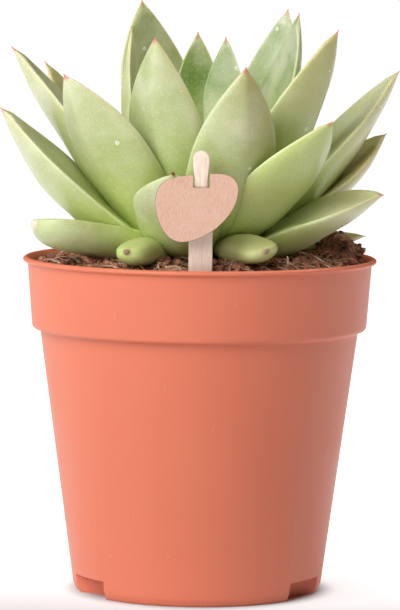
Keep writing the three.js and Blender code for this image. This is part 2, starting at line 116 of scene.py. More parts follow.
# Leaves that show from the front, from the outermost to the innermost. tip and root are points on the
# middle line of the upper face, and width is the widest part of the blade. bow is how far the middle
# line sags below its chord, roll turns the blade about its length in degrees, fat is thickness over
# width, dish is the hollow of the upper face over width, negative where the leaf is domed, keel is the
# share of the ridge in the underside, blunt rounds the tip, and an end below 1 makes the leaf a stub.
# tone is how deep its green is; lime how much lime green it takes beyond its root, partly its own colour
# and partly painted light that brightens the shaded roots and the leaves that lie in shade; olive how
# strongly its painted shade shows, an olive tint on the side turned from the key light; tint how pink its
# point is; and nub the radius of a dried point in mm, which is bleached as far as tint says.
LEAVES = (
    dict(tip=(-23.8, -53, 119), root=(-12, -20, 116.8), width=11.5, fat=0.43, dish=-0.36, blunt=5,
         end=0.42, tone=0.55, lime=0.6, nub=1.0, tint=0.1),
    dict(tip=(21.6, -49.5, 119.4), root=(6, -18, 119), width=13, roll=15, fat=0.35, dish=-0.28,
         blunt=6.5, end=0.42, tone=0.0, lime=0.45, nub=0.85, tint=0.3),
    dict(tip=(-54.9, -35, 126.5), root=(-12, -18, 119.1), width=20.5, bow=-1, roll=15, fat=0.42,
         dish=0.03, blunt=3.8, end=0.46, nub=2.2, tone=0.4, lime=0.25, tint=1.0),
    dict(tip=(56.9, 22, 119.4), root=(13, 8, 118.1), width=16, roll=20, tone=0.9, olive=1.0, tint=0.0),
    dict(tip=(60.8, -28, 136.9), root=(11, -12, 117.1), width=28, bow=-3, roll=16, fat=0.4, blunt=2.3,
         olive=0.5, tint=0.35),
    dict(tip=(-9, -52, 144.4), root=(-5, -18, 119.1), width=29, bow=3, blunt=3.5, nub=0.8, olive=0.0,
         tint=0.0),
    dict(tip=(63.3, 14, 155.1), root=(14, 4, 120.1), width=31, bow=0.2, roll=10, fat=0.34, blunt=2.1,
         tone=0.0, lime=0.35, olive=1.0, tint=0.0),
    dict(tip=(42.9, -44, 161.8), root=(5, -14, 121.1), width=33, keel=0.15, tone=0.0, lime=0.6,
         olive=0.1, tint=0.15),
    dict(tip=(-66.4, -28, 164.6), root=(-15, -18, 119.1), width=32, roll=-13, fat=0.38, olive=0.1,
         tint=0.5),
    dict(tip=(67.1, 8, 176.6), root=(16, -2, 120.1), width=27, bow=-1.3, roll=5, fat=0.42, blunt=2.1,
         tone=0.0, olive=0.5, tint=0.05),
    dict(tip=(-45.1, -40, 176.2), root=(-9, -19, 120.1), width=31, roll=20, olive=0.45, tint=1.0),
    dict(tip=(-63.3, -18, 184.5), root=(-12, -8, 121.1), width=30, bow=-2.4, roll=-12, fat=0.35,
         tone=0.05, olive=0.05, tint=0.8),
    dict(tip=(14.4, -50, 179.4), root=(0.5, -16, 120.1), width=30, bow=6, tone=0.32, olive=0.7,
         tint=0.75),
    dict(tip=(-54.1, 30, 178.1), root=(-8, 6, 126.1), width=24, bow=2, tone=0.3, olive=0.6, tint=0.5),
    dict(tip=(45.1, -26, 191.1), root=(7, -7, 122.1), width=34, lime=0.3, olive=0.6, tint=0.8),
    dict(tip=(-15.4, -40, 188.6), root=(-1, -14, 121.1), width=27.5, bow=4.5, tone=0.32, olive=0.5,
         tint=1.0),
    dict(tip=(33, 12, 195.8), root=(5, 2, 126.1), width=29, bow=3, tone=0.7, tint=0.45),
    dict(tip=(29.5, 25, 196.9), root=(3, 7, 128.1), width=33, bow=3, tone=0.65, tint=0.5),
    dict(tip=(-20.9, 35, 199.4), root=(-1, 8, 128.1), width=31, bow=3, tone=0.55, tint=0.4),
    dict(tip=(-23.7, 5, 191), root=(-10, 3, 124.1), width=19, bow=4, tone=0.0, lime=0.2, tint=0.6),
    dict(tip=(8.2, 10, 187.5), root=(4, 3, 138.1), width=16, bow=2, tone=0.9, tint=0.3),
    dict(tip=(-1.4, 14, 189), root=(0, 5, 138.1), width=16, bow=2, tone=1.0, lime=0.1, tint=0.3),
)

# Leaves on the far side, in tiers: count leaves from the angle start, step degrees apart, with the
# reach and height of their tips and roots, and the range over which each leaf strays from its tier
BACK_TIERS = (
    dict(count=5, start=28, step=27, reach=62, height=139, root=(14, 119), width=26, bow=3),
    dict(count=4, start=58, step=27, reach=56, height=161, root=(11, 122), width=26, bow=3),
    dict(count=2, start=78, step=26, reach=36, height=172, root=(8, 127), width=22, bow=3),
)
BACK_JITTER = 7

# The sine behind each leaf's fixed jitter, and the cells along each side of the noise lattice
SPREAD_STEP = 12.9898
SPREAD_SCALE = 43758.5453
NOISE_CELLS = 256

# Heart leaves on the crown, from the outermost in, with the numbers of those that are left out, and the
# number from which their jitter counts
HEART = dict(count=7, start=196, skip=(2,), reach=13, reach_step=-1.2, height=153, height_step=1.2,
             root=(3, 134), width=11.5, bow=1.5)
HEART_FIRST = 60

# Rows and columns of a full-size leaf and of a heart leaf, and how they crowd towards tip and margins
LEAF_GRID = (64, 56)
HEART_GRID = (36, 32)
TIP_CROWDING = 1.25
MARGIN_CROWDING = 0.22

# Shape of a leaf as shares of its own length, width or thickness
ROOT_WIDTH = 0.62
WIDEST_AT = 0.56
SWELL = 1.1
ROOT_THICKNESS = 0.7
THICKEST_AT = 0.35
THINS_OVER = 0.7
THINNING = 2.4
DISH_SPREAD = 0.7
BLUNT = 1.85
KEEL_POWER = 1.25
STUB_POWER = 0.75

# Spans along a leaf over which its keel grows, the bud's ridges set in, the lime green of its root, partly
# painted light, fades out, and its painted olive shade sets in
KEEL_SPAN = (0.05, 0.75)
IMPRINT_SPAN = (0.3, 0.7)
ROOT_LIME_SPAN = (0.12, 0.85)
OLIVE_SHADE_SPAN = (0.1, 0.9)

# What a leaf has where its table doesn't say: the least depth of its green and the range by which leaves
# differ, the strength of its painted olive shade, and how pink its point is. Every root takes as much lime
# green as ROOT_LIME, which is partly painted light.
TONE_LEAST = 0.12
TONE_RANGE = 0.3
OLIVE_SHADE = 0.3
PINKNESS = 0.4
ROOT_LIME = 0.9

# Waves of a leaf's two edges, and of its skin as (along, across, share of the leaf's own phase).
# The skin's waves reach their full height on a leaf of the full width in mm.
EDGE_WAVES = (9, 8)
SKIN_WAVES = ((11, 2.1, 1.0), (17, -3.3, 2.6))
FULL_WIDTH = 30

# Ridges that the bud pressed in: their distance from the middle line and their width over the half width
IMPRINT_AT = 0.55
IMPRINT_WIDTH = 0.1

# Radius of a leaf's fine point, and how far a knob keeps the colour of the point away, both in mm
POINT_RADIUS = 0.24
KNOB_CLEAR = 4.0

# Rings past the tip, in radii of the point: their distances, their sizes, and how far a fine point and
# a stub stretch them
CAP_REACH = (0.35, 0.8, 1.15)
CAP_SIZE = (0.92, 0.7, 0.38)
CAP_FLATNESS = 0.8
FINE_STRETCH = 1.2
STUB_STRETCH = 0.4

# Painted shade: the direction of the side that takes the olive tint, which is the leaves' right side,
# turned from the key light, the cosines at which the tint starts and is full, and the strength above which
# it reaches round the leaf
SHADED_SIDE = (0.78, -0.12, 0.6)
OLIVE_SHADE_START = -0.3
OLIVE_SHADE_FULL = 0.8
STRONG_OLIVE_SHADE = 0.8

# Numbers that a leaf's mesh carries at each vertex: the share of its length, the distances in mm from its
# margin and from its point, and how deep green, lime green (partly painted light), olive (painted shade),
# pink and dried it is there
LEAF_MARKS = ("along", "rim", "point", "tone", "lime", "olive", "tint", "dry")

# Stake: a flat stick that leans towards the front, with its widths as (height, half width)
STAKE_PROFILE = ((64, 1.6), (72, 3.9), (126, 3.9), (137, 2.7), (141, 2.1), (144.6, 2.15), (147.5, 2.65),
                 (150.2, 2.7))
STAKE_HEAD_RADIUS = 2.7
STAKE_THICKNESS = 1.5
STAKE_GROUND = (0.2, -51.6, 113.5)
STAKE_LEAN = 8
STAKE_ROWS = 140
STAKE_HEAD_ROWS = 18
STAKE_CORNER = 0.32
STAKE_CORNER_STEPS = 4

# Tag: a thin rounded drop shape, as (x, z) points, each curve with its two handles and its end, with a
# slot that is open at its top edge
TAG_START = (-6.1, 122.8)
TAG_CURVES = (
    ((1.5, 122.8), (12.2, 131), (12.3, 139.8)),
    ((12.4, 142.8), (10.2, 145.1), (5.7, 145.2)),
    ((1, 145.3), (-6, 144.7), (-9.9, 143.4)),
    ((-13, 142.4), (-14.7, 139.5), (-14.7, 135.7)),
    ((-14.7, 130.4), (-11.6, 122.8), TAG_START),
)
TAG_THICKNESS = 0.8
TAG_GAP = 0.45
TAG_LEAN = -6
TAG_BEVEL = 0.1
TAG_CURVE_STEPS = 24
SLOT_FLOOR_Z = 140.6
SLOT_LEFT = -2.4
SLOT_RIGHT = 2.9
SLOT_CORNER = 0.3

# Camera, measured from the pot's axis on the ground, in metres and degrees, with sensor and lens in mm
CAMERA_PLACE = (0.0, -1.350, 0.2225)
CAMERA_PITCH = 5.31
CAMERA_ROLL = 0.55
CAMERA_SENSOR = 36.0
CAMERA_LENS = 235.36
CAMERA_SHIFT_X = 0.001
CAMERA_FAR = 50

# Stage, in metres: half the side of the floor, the point that the lights face, and each light as its
# name, its place, its width and height, and the setting that holds its power
FLOOR_REACH = 20.0
LIGHT_TARGET = (0.0, 0.0, 0.11)
LIGHTS = (
    ("key_light", (-0.81, -1.03, 1.06), 1.4, 1.4, "key_power"),
    ("top_light", (0.45, 0.3, 1.25), 1.0, 1.0, "top_power"),
    ("strip_light", (-1.15, 0.75, 0.75), 0.35, 0.5, "strip_power"),
)


def linear(code):
    """Turns an sRGB hex colour into linear red, green and blue."""
    parts = [int(code[i:i + 2], 16) / 255 for i in (1, 3, 5)]
    return tuple(c / 12.92 if c <= 0.04045 else ((c + 0.055) / 1.055) ** 2.4 for c in parts)


def opaque(colour):
    """Adds full alpha to a colour."""
    return (*tuple(colour)[:3], 1.0)


def smooth_step(low, high, values):
    """Rises from 0 at low to 1 at high along 3x^2 - 2x^3."""
    x = np.clip((values - low) / (high - low), 0, 1)
    return x * x * (3 - 2 * x)


def unit(vectors):
    """Scales vectors to a length of one."""
    return vectors / np.linalg.norm(vectors, axis=-1, keepdims=True)


def spread(k):
    """A fixed number from -0.5 to 0.5 for the whole number k: the fraction of a large sine, less 0.5."""
    wave = math.sin(k * SPREAD_STEP) * SPREAD_SCALE
    return wave - math.floor(wave) - 0.5


def value_noise(x, y, cell, seed):
    """Random heights from -1 to 1 on a lattice of the given cell, blended smoothly between corners."""
    table = np.random.default_rng(seed).uniform(-1, 1, (NOISE_CELLS, NOISE_CELLS))
    gx, gy = x / cell + NOISE_CELLS / 2, y / cell + NOISE_CELLS / 2
    ix, iy = np.floor(gx).astype(int), np.floor(gy).astype(int)
    fx, fy = smooth_step(0, 1, gx - ix), smooth_step(0, 1, gy - iy)
    left, right = ix % NOISE_CELLS, (ix + 1) % NOISE_CELLS
    near, far = (
        table[row % NOISE_CELLS, left] * (1 - fx) + table[row % NOISE_CELLS, right] * fx
        for row in (iy, iy + 1)
    )
    return near * (1 - fy) + far * fy


def full_turn(count):
    """Angles of count points evenly round a circle."""
    return 2 * np.pi * np.arange(count) / count


# Meshes


def tube_faces(rows, columns):
    """Faces of closed rings with a point at each end: quads between the rings and a fan of triangles at
    each pole. The start pole is the first vertex, and the end pole comes after the last ring."""
    ring = 1 + np.arange(rows)[:, None] * columns
    here, there = np.arange(columns), (np.arange(columns) + 1) % columns
    quads = np.stack([ring[:-1] + here, ring[:-1] + there, ring[1:] + there, ring[1:] + here], -1)
    start_fan = np.stack([np.zeros(columns, int), ring[0] + there, ring[0] + here], -1)
    end_fan = np.stack([np.full(columns, 1 + rows * columns), ring[-1] + here, ring[-1] + there], -1)
    return quads.reshape(-1, 4), np.concatenate([start_fan, end_fan])


def tube(rings, start, end, marks=None):
    """A closed shape through rings of points (rows, columns, 3) with its two end points. marks gives
    named numbers for each ring point, which the end points take from the nearest ring."""
    rows, columns = rings.shape[:2]
    points = np.concatenate([[start], rings.reshape(-1, 3), [end]])
    quads, triangles = tube_faces(rows, columns)
    spots = {}
    for name, values in (marks or {}).items():
        full = np.broadcast_to(values, (rows, columns))
        spots[name] = np.concatenate([[full[0].mean()], full.ravel(), [full[-1].mean()]])
    return {"points": points, "quads": quads, "triangles": triangles, "marks": spots}


def facing_out(shape):
    """The shape with its faces turned outwards, which is when the volume they enclose is positive."""
    p, q, t = shape["points"], shape["quads"], shape["triangles"]
    corners = np.concatenate([q[:, [0, 1, 2]], q[:, [0, 2, 3]], t])
    a, b, c = (p[corners[:, i]] for i in range(3))
    if np.einsum("ij,ij->i", a, np.cross(b, c)).sum() < 0:
        return {**shape, "quads": q[:, ::-1], "triangles": t[:, ::-1]}
    return shape


def placed_object(name, data, materials=()):
    """A new object in the scene, which shows the data with its materials."""
    for material in materials:
        data.materials.append(material)
    piece = bpy.data.objects.new(name, data)
    bpy.context.scene.collection.objects.link(piece)
    return piece


def mesh_object(name, shapes, materials):
    """Puts shapes, given in millimetres from the pot's axis, into one mesh whose object stays at the
    origin. Each shape may give the number of its material and whether it is flat shaded."""
    points, loops, sizes, picks, smooth = [], [], [], [], []
    marks = {}
    base = 0
    for shape in map(facing_out, shapes):
        points.append(shape["points"])
        loops += [(shape["quads"] + base).ravel(), (shape["triangles"] + base).ravel()]
        sizes += [np.full(len(shape["quads"]), 4), np.full(len(shape["triangles"]), 3)]
        faces = len(shape["quads"]) + len(shape["triangles"])
        picks.append(np.full(faces, shape.get("material", 0)))
        smooth.append(np.full(faces, not shape.get("flat", False)))
        for key, values in shape["marks"].items():
            marks.setdefault(key, []).append((base, values))
        base += len(shape["points"])
    placed = np.concatenate(points) * MM + AXIS
    if not np.isfinite(placed).all():
        raise ValueError(f"{name} has a point that isn't a number")
    mesh = bpy.data.meshes.new(name)
    mesh.vertices.add(len(placed))
    mesh.vertices.foreach_set("co", placed.astype(np.float32).ravel())
    corner_list = np.concatenate(loops).astype(np.int32)
    face_sizes = np.concatenate(sizes)
    mesh.loops.add(len(corner_list))
    mesh.loops.foreach_set("vertex_index", corner_list)
    mesh.polygons.add(len(face_sizes))
    starts = np.concatenate([[0], np.cumsum(face_sizes)[:-1]]).astype(np.int32)
    mesh.polygons.foreach_set("loop_start", starts)
    mesh.polygons.foreach_set("material_index", np.concatenate(picks).astype(np.int32))
    mesh.polygons.foreach_set("use_smooth", np.concatenate(smooth))
    for key, spans in marks.items():
        values = np.zeros(len(placed), np.float32)
        for start, span in spans:
            values[start:start + len(span)] = span
        mesh.attributes.new(key, "FLOAT", "POINT").data.foreach_set("value", values)
    mesh.update(calc_edges=True)
    if mesh.validate():
        raise ValueError(f"{name} has faces that don't join up")
    return placed_object(name, mesh, materials)


def dress(piece, slot, *nodes):
    """Makes a piece ride with the object and stand for its solids, which it hides. The slot is not used."""
    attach(piece, BODY)
    if nodes:
        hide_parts(*nodes)
    return piece


# Materials


def add_node(tree, kind, inputs=None, out=0, ramp=None, **settings):
    """Adds a shader node of the given kind with its settings, sets or links its inputs by name or
    number, and returns one of its output sockets, if it has any."""
    node = tree.nodes.new(f"ShaderNode{kind}")
    for key, value in settings.items():
        setattr(node, key, value)
    if ramp:
        elements = node.color_ramp.elements
        while len(elements) < len(ramp):
            elements.new(1.0)
        for element, (place, colour) in zip(elements, ramp):
            element.position = place
            element.color = opaque(colour)
    for key, value in (inputs or {}).items():
        socket = node.inputs[key]
        if isinstance(value, bpy.types.NodeSocket):
            tree.links.new(value, socket)
        else:
            socket.default_value = opaque(value) if socket.type == "RGBA" else value
    return node.outputs[out] if node.outputs else None


def new_material(name):
    """A material whose node tree holds only the object's coordinates in metres, which every pattern
    follows."""
    material = bpy.data.materials.new(name)
    material.use_nodes = True
    tree = material.node_tree
    tree.nodes.clear()
    return material, tree, add_node(tree, "TexCoord", out="Object")


def build_surface(tree, colour, shader, layers=(), bumps=()):
    """Lays colours over the base colour, each by its mask, piles up the bumps, each given as its
    height, its strength and its depth in millimetres, and joins them in the shader, which has values of
    its own."""
    for mask, shade in layers:
        colour = add_node(tree, "Mix", {
            MIX_FACTOR: mask, MIX_FIRST: colour, MIX_SECOND: shade,
        }, MIX_RESULT, data_type="RGBA")
    skin = {}
    for height, strength, depth in bumps:
        bump = {"Height": height, "Strength": strength, "Distance": depth * MM, **skin}
        skin = {"Normal": add_node(tree, "Bump", bump)}
    surface = add_node(tree, "BsdfPrincipled", {"Base Color": colour, **skin, **shader})
    add_node(tree, "OutputMaterial", {"Surface": surface})


def leaf_material(name, look):
    """Succulent leaf flesh under a waxy skin: pale grey green and translucent, with a clear satin gloss. It
    gives the eye a cloudy bloom, a fine pale speckle, a lime green towards the root that is partly painted
    light, an olive tint painted on as shade on the side turned from the key light, a thin pale margin that
    browns towards a small pink point, and a few dried water marks. LEAF_MARKS come from the mesh."""
    material, tree, place = new_material(name)
    along, rim, point, tone, lime, olive, tint, dry = (
        add_node(tree, "Attribute", out="Fac", attribute_name=mark) for mark in LEAF_MARKS
    )
    # Noise by its size in mm, detail and roughness: the cloudy bloom, the speckle, which also pebbles the
    # skin, the patches of the painted olive shade, and the skin's gentle swells
    cloud, grain, patch, swell = (
        add_node(tree, "TexNoise", {
            "Vector": place, "Scale": 1 / (size * MM), "Detail": detail, "Roughness": roughness,
        })
        for size, detail, roughness in ((12, 3.0, 0.55), (0.7, 2.0, 0.6), (20, 2.0, 0.5), (7, 1.0, 0.5))
    )
    # Dried water marks: uneven rings and dots about 1.3 mm across in one of every few 10 mm cells
    ragged = add_node(tree, "TexNoise", {"Vector": place, "Scale": 1 / (0.9 * MM)}, "Color")
    ragged = add_node(tree, "VectorMath", {0: ragged, 1: (0.9 * MM,) * 3}, operation="MULTIPLY")
    ragged = add_node(tree, "VectorMath", {0: ragged, 1: place}, operation="ADD")
    cells, chance = (
        add_node(tree, "TexVoronoi", {"Vector": ragged, "Scale": 1 / (10 * MM)}, out)
        for out in ("Distance", "Color")
    )
    ring = add_node(tree, "ValToRGB", {"Fac": cells}, ramp=(
        (0.0, (0.5, 0.5, 0.5)), (0.03, (0.15, 0.15, 0.15)), (0.062, (1, 1, 1)), (0.095, (0, 0, 0)),
    ))
    # Masks by what they follow, between which values, and how strong they are at either end
    bloom, gloss, speckle, patchy, browned, chosen, margin, tip = (
        add_node(tree, "MapRange", {
            "Value": value, "From Min": low, "From Max": high, "To Min": first, "To Max": last,
        }, interpolation_type=curve)
        for value, low, high, first, last, curve in (
            # The bloom is also a little less glossy
            (cloud, 0.35, 0.65, 0.0, 0.55, "LINEAR"),
            (cloud, 0.3, 0.7, look.roughness, look.roughness + 0.1, "LINEAR"),
            (grain, 0.5, 0.72, 0.0, look.speckle, "LINEAR"),
            (patch, 0.3, 0.65, 0.45, 1.0, "LINEAR"),
            # The margin browns over the outer part of the leaf
            (along, 0.7, 1.05, 0.0, 1.0, "LINEAR"),
            (chance, 0.25, 0.5, 0.0, look.water_marks, "LINEAR"),
            # The margin is a pale line about 0.7 mm wide, and the point is coloured over its last 3 mm
            (rim, 0.15, 0.85, look.margin_strength, 0.0, "SMOOTHSTEP"),
            (point, 0.4, 3.2, 1.0, 0.0, "SMOOTHSTEP"),
        )
    )
    # Painted shade: the olive tint where the skin faces the side turned from the key light, broken into
    # patches
    flush, mark = (
        add_node(tree, "Math", {0: first, 1: second}, operation="MULTIPLY")
        for first, second in ((olive, patchy), (ring, chosen))
    )
    # The margin is pale or brown, the point brown or pink, and a stub's dried point brown or bleached
    margin_colour, tip_colour, scab_colour = (
        add_node(tree, "Mix", {MIX_FACTOR: share, MIX_FIRST: first, MIX_SECOND: second}, MIX_RESULT,
                 data_type="RGBA")
        for share, first, second in (
            (browned, look.margin, look.brown_margin),
            (tint, look.brown_point, look.pink_point),
            (tint, look.dry_point, look.bleached_point),
        )
    )
    # The lime layer is partly painted light, and the olive layer is painted shade
    build_surface(tree, look.green, {
        "Roughness": gloss, "IOR": 1.5, "Subsurface Weight": 0.6, "Subsurface Radius": (1.0, 0.9, 0.45),
        "Subsurface Scale": 4.0 * MM, "Coat Weight": 0.2, "Coat Roughness": 0.15,
    }, layers=(
        (tone, look.deep_green), (bloom, look.bloom), (lime, look.root_green), (speckle, look.speck),
        (flush, look.flush), (margin, margin_colour), (tip, tip_colour), (dry, scab_colour),
        (mark, look.water_mark),
    ), bumps=((grain, 0.12, 0.05), (swell, 0.5, 0.3)))
    return material


def pot_material(look):
    """Injection-moulded polypropylene, terracotta coloured: smooth and slightly translucent, with a
    soft wide highlight, faint scuffs from stacking, and a few pale specks of dust."""
    material, tree, place = new_material("Terracotta polypropylene, moulded")
    # Noise by its size in mm and detail: faded patches, the mould's fine grain, and slight flow waves
    cloud, grain, flow = (
        add_node(tree, "TexNoise", {"Vector": place, "Scale": 1 / (size * MM), "Detail": detail})
        for size, detail in ((30, 3.0), (0.8, 2.0), (14, 1.0))
    )
    # Short upright scuffs about 1 mm wide and 12 mm long
    stretched = add_node(tree, "Mapping", {"Vector": place, "Scale": (1.0, 1.0, 0.08)})
    streak = add_node(tree, "TexNoise", {"Vector": stretched, "Scale": 1 / (1.1 * MM), "Detail": 2.0})
    # Dust specks about 0.5 mm across, one or two in each 12 mm
    dots = add_node(tree, "TexVoronoi", {"Vector": place, "Scale": 1 / (11 * MM)}, "Distance")
    # Masks by what they follow, between which values, and how strong they are at either end
    shade, gloss, scuff, speck = (
        add_node(tree, "MapRange", {
            "Value": value, "From Min": low, "From Max": high, "To Min": first, "To Max": last,
        })
        for value, low, high, first, last in (
            (cloud, 0.3, 0.7, 0.0, 0.35),
            (cloud, 0.3, 0.7, 0.44, 0.54),
            (streak, 0.73, 0.8, 0.0, 0.25),
            (dots, 0.02, 0.04, 0.55, 0.0),
        )
    )
    build_surface(tree, look.terracotta, {
        "Roughness": gloss, "IOR": 1.55, "Subsurface Weight": 0.08, "Subsurface Radius": (1.0, 0.35, 0.2),
        "Subsurface Scale": 2.0 * MM,
    }, layers=((shade, look.faded), (scuff, look.scuff), (speck, look.scuff)),
        bumps=((grain, 0.15, 0.03), (flow, 0.4, 0.25)))
    return material


def crumb_material(name, dark, light, size, roughness):
    """Loose organic matter, such as peat, bark or coir: rough and matt, mottled between a dark and a
    light tone in patches of the given size in millimetres."""
    material, tree, place = new_material(name)
    patch = add_node(tree, "TexNoise", {
        "Vector": place, "Scale": 1 / (size * MM), "Detail": 6.0, "Roughness": 0.65,
    })
    colour = add_node(tree, "ValToRGB", {"Fac": patch}, ramp=((0.38, dark), (0.66, light)))
    grain = add_node(tree, "TexNoise", {"Vector": place, "Scale": 1 / (0.35 * size * MM), "Detail": 4.0})
    build_surface(tree, colour, {"Roughness": roughness}, bumps=((grain, 0.8, 0.25),))
    return material


def stake_material(look):
    """Birch strip, planed and sanded: pale and matt, with fine straight grain along its length."""
    material, tree, place = new_material("Birch strip, sanded")
    along = add_node(tree, "Mapping", {"Vector": place, "Scale": (1.0, 1.0, 0.035)})
    # Grain lines about 0.6 mm apart
    grain = add_node(tree, "TexNoise", {
        "Vector": along, "Scale": 1 / (0.6 * MM), "Detail": 4.0, "Roughness": 0.6,
    })
    colour = add_node(tree, "ValToRGB", {"Fac": grain}, ramp=(
        (0.3, look.grain), (0.55, look.birch), (0.8, look.pale_birch),
    ))
    build_surface(tree, colour, {"Roughness": 0.62}, bumps=((grain, 0.35, 0.08),))
    return material


def tag_material(look):
    """Thin wood-fibre board: light brown and matt, with short upright fibres 0.5 mm wide, and paler in
    patches 6 mm across."""
    material, tree, place = new_material("Wood-fibre board, pressed")
    along = add_node(tree, "Mapping", {"Vector": place, "Scale": (1.0, 1.0, 0.3)})
    fibre = add_node(tree, "TexNoise", {
        "Vector": along, "Scale": 1 / (0.5 * MM), "Detail": 5.0, "Roughness": 0.7,
    })
    colour = add_node(tree, "ValToRGB", {"Fac": fibre}, ramp=(
        (0.3, look.board_dark), (0.5, look.board), (0.72, look.board_light),
    ))
    broad = add_node(tree, "TexNoise", {"Vector": place, "Scale": 1 / (6 * MM), "Detail": 2.0})
    tint = add_node(tree, "MapRange", {"Value": broad, "From Min": 0.35, "From Max": 0.7, "To Max": 0.3})
    build_surface(tree, colour, {"Roughness": 0.75}, layers=((tint, look.board_light),),
                  bumps=((fibre, 0.4, 0.06),))
    return material


def edge_material(look):
    """The tag's cut edge, browned by the cutter: dark, matt and slightly uneven."""
    material, tree, place = new_material("Wood-fibre board, cut edge")
    char = add_node(tree, "TexNoise", {"Vector": place, "Scale": 1 / (1.5 * MM), "Detail": 3.0})
    colour = add_node(tree, "ValToRGB", {"Fac": char}, ramp=(
        (0.35, look.edge_dark), (0.7, look.edge_light),
    ))
    build_surface(tree, colour, {"Roughness": 0.8})
    return material


def paper_material(look):
    """White background paper: matt and slightly fibrous, and lit through from below behind the pot and
    well away from it, so that it fades to clear white, but not under the pot's foot."""
    material, tree, place = new_material("Background paper, matt white")
    fibre = add_node(tree, "TexNoise", {"Vector": place, "Scale": 1 / (2 * MM), "Detail": 2.0})
    depth = add_node(tree, "SeparateXYZ", {"Vector": place}, "Y")
    away = add_node(tree, "VectorMath", {0: place}, "Value", operation="LENGTH")
    foot = FOOT_RADIUS * MM
    behind, far, clear = (
        add_node(tree, "MapRange", {
            "Value": value, "From Min": low, "From Max": high, "To Max": strength,
        }, interpolation_type="SMOOTHSTEP")
        for value, low, high, strength in (
            (depth, -0.17, 0.1, look.paper_glow),
            (away, 0.2, 0.5, look.paper_glow),
            (away, 0.9 * foot, 1.15 * foot, 1.0),
        )
    )
    lit = add_node(tree, "Math", {0: behind, 1: far}, operation="MAXIMUM")
    glow = add_node(tree, "Math", {0: lit, 1: clear}, operation="MULTIPLY")
    build_surface(tree, look.paper, {
        "Roughness": 0.9, "Emission Color": (1.0, 1.0, 1.0), "Emission Strength": glow,
    }, bumps=((fibre, 0.05, 0.05),))
    return material


# Shapes of the pot and the soil


def body_radius(z):
    """Outer radius of the pot's body at a height: a straight taper from the foot to the collar."""
    return FOOT_RADIUS + (BODY_TOP_RADIUS - FOOT_RADIUS) * z / COLLAR_FOOT_Z


def rounded(corners, steps=5):
    """A profile through corners (radius, height, rounding), each cut by a short quadratic arc that
    leaves and meets the straight sides at the rounding's distance from the corner, or just before their
    middles."""
    place = np.array([corner[:2] for corner in corners], float)
    line = [place[0]]
    most = 0.45
    t = np.linspace(0, 1, steps)[:, None]
    for i in range(1, len(corners) - 1):
        before, here, after = place[i - 1], place[i], place[i + 1]
        cut = corners[i][2]
        if cut == 0:
            line.append(here)
            continue
        enter, leave = (
            here + unit(other - here) * min(cut, np.linalg.norm(other - here) * most)
            for other in (before, after)
        )
        line += list((1 - t) ** 2 * enter + 2 * t * (1 - t) * here + t ** 2 * leave)
    return np.array([*line, place[-1]])


def notch_reach(angles, radius):
    """Distance from the axis at which a ray at each angle meets the near side of a notch's round
    recess, or BEYOND where it meets none."""
    reach = np.full(angles.shape, BEYOND)
    for centre in NOTCH_ANGLES:
        away = np.radians((np.degrees(angles) - centre + 180) % 360 - 180)
        inside = radius ** 2 - (NOTCH_AXIS_RADIUS * np.sin(away)) ** 2
        met = NOTCH_AXIS_RADIUS * np.cos(away) - np.sqrt(np.maximum(inside, 0))
        reach = np.where((inside > 0) & (np.cos(away) > 0), np.minimum(reach, met), reach)
    return reach


def lathe(profile, columns, reshape=None):
    """Turns a profile that starts and ends on the axis about it. reshape may change the radius and
    height of each point by its row and angle."""
    angles = full_turn(columns)
    radius, height = (np.repeat(profile[1:-1, i, None], columns, 1) for i in (0, 1))
    if reshape:
        radius, height = reshape(radius, height, angles)
    rings = np.stack([radius * np.cos(angles), radius * np.sin(angles), height], -1)
    return tube(rings, (0, 0, profile[0][1]), (0, 0, profile[-1][1]))


def pot_shape():
    """The pot as one lathed wall: down the inside of the foot ring, up the outside, over the lip and
    down the inner wall to the floor. Its corners are (radius, height, rounding). Below the floor the
    three notches push the foot ring inwards."""
    top, lip, collar, step = POT_HEIGHT, LIP_FOOT_Z, COLLAR_FOOT_Z, 0.7
    tread, heel_z, close = FOOT_RADIUS - 1.2, 2.6, 0.05
    outside = (
        (tread, 0, 0.3), (FOOT_RADIUS - 0.6, 0.6, 0.3), (body_radius(heel_z), heel_z, 1.2),
        (body_radius(FLOOR_Z - close), FLOOR_Z - close, 0),
        (body_radius(FLOOR_Z + close), FLOOR_Z + close, 0),
        (BODY_TOP_RADIUS, collar - step, 0.5), (BODY_TOP_RADIUS + step, collar, 0.3),
        (COLLAR_FOOT_RADIUS - step, collar, 0.4), (COLLAR_FOOT_RADIUS, collar + step, 0.8),
        (COLLAR_TOP_RADIUS, lip - 0.35, 0.3), (RIM_RADIUS - 0.35, lip, 0.3), (RIM_RADIUS, lip + 0.5, 0.4),
        (RIM_RADIUS, top - 0.6, 0.5), (RIM_RADIUS - 0.7, top, 0.5), (COLLAR_TOP_RADIUS, top, 0.5),
    )
    inside = (
        (COLLAR_TOP_RADIUS - WALL, lip, 1.0), (COLLAR_FOOT_RADIUS - WALL, collar + WALL + step, 1.0),
        (BODY_TOP_RADIUS - WALL, collar + step, 1.0), (body_radius(FLOOR_TOP_Z) - WALL, FLOOR_TOP_Z, 1.5),
        (0, FLOOR_TOP_Z, 0),
    )
    underside = (
        (0, FLOOR_Z, 0), (body_radius(FLOOR_Z) - WALL, FLOOR_Z, 0.4),
        (body_radius(heel_z) - WALL, heel_z, 0.6), (tread - WALL, 0, 0.3),
    )
    inner_rows = len(rounded((*underside, outside[0]))) - 2
    profile = rounded((*underside, *outside, *inside))

    def notched(radius, height, angles):
        inner = np.arange(len(radius))[:, None] < inner_rows
        cut = np.where(inner, notch_reach(angles, NOTCH_RADIUS + WALL), notch_reach(angles, NOTCH_RADIUS))
        return np.where(height < FLOOR_Z + close / 2, np.minimum(radius, cut), radius), height

    return lathe(profile, POT_COLUMNS, notched)


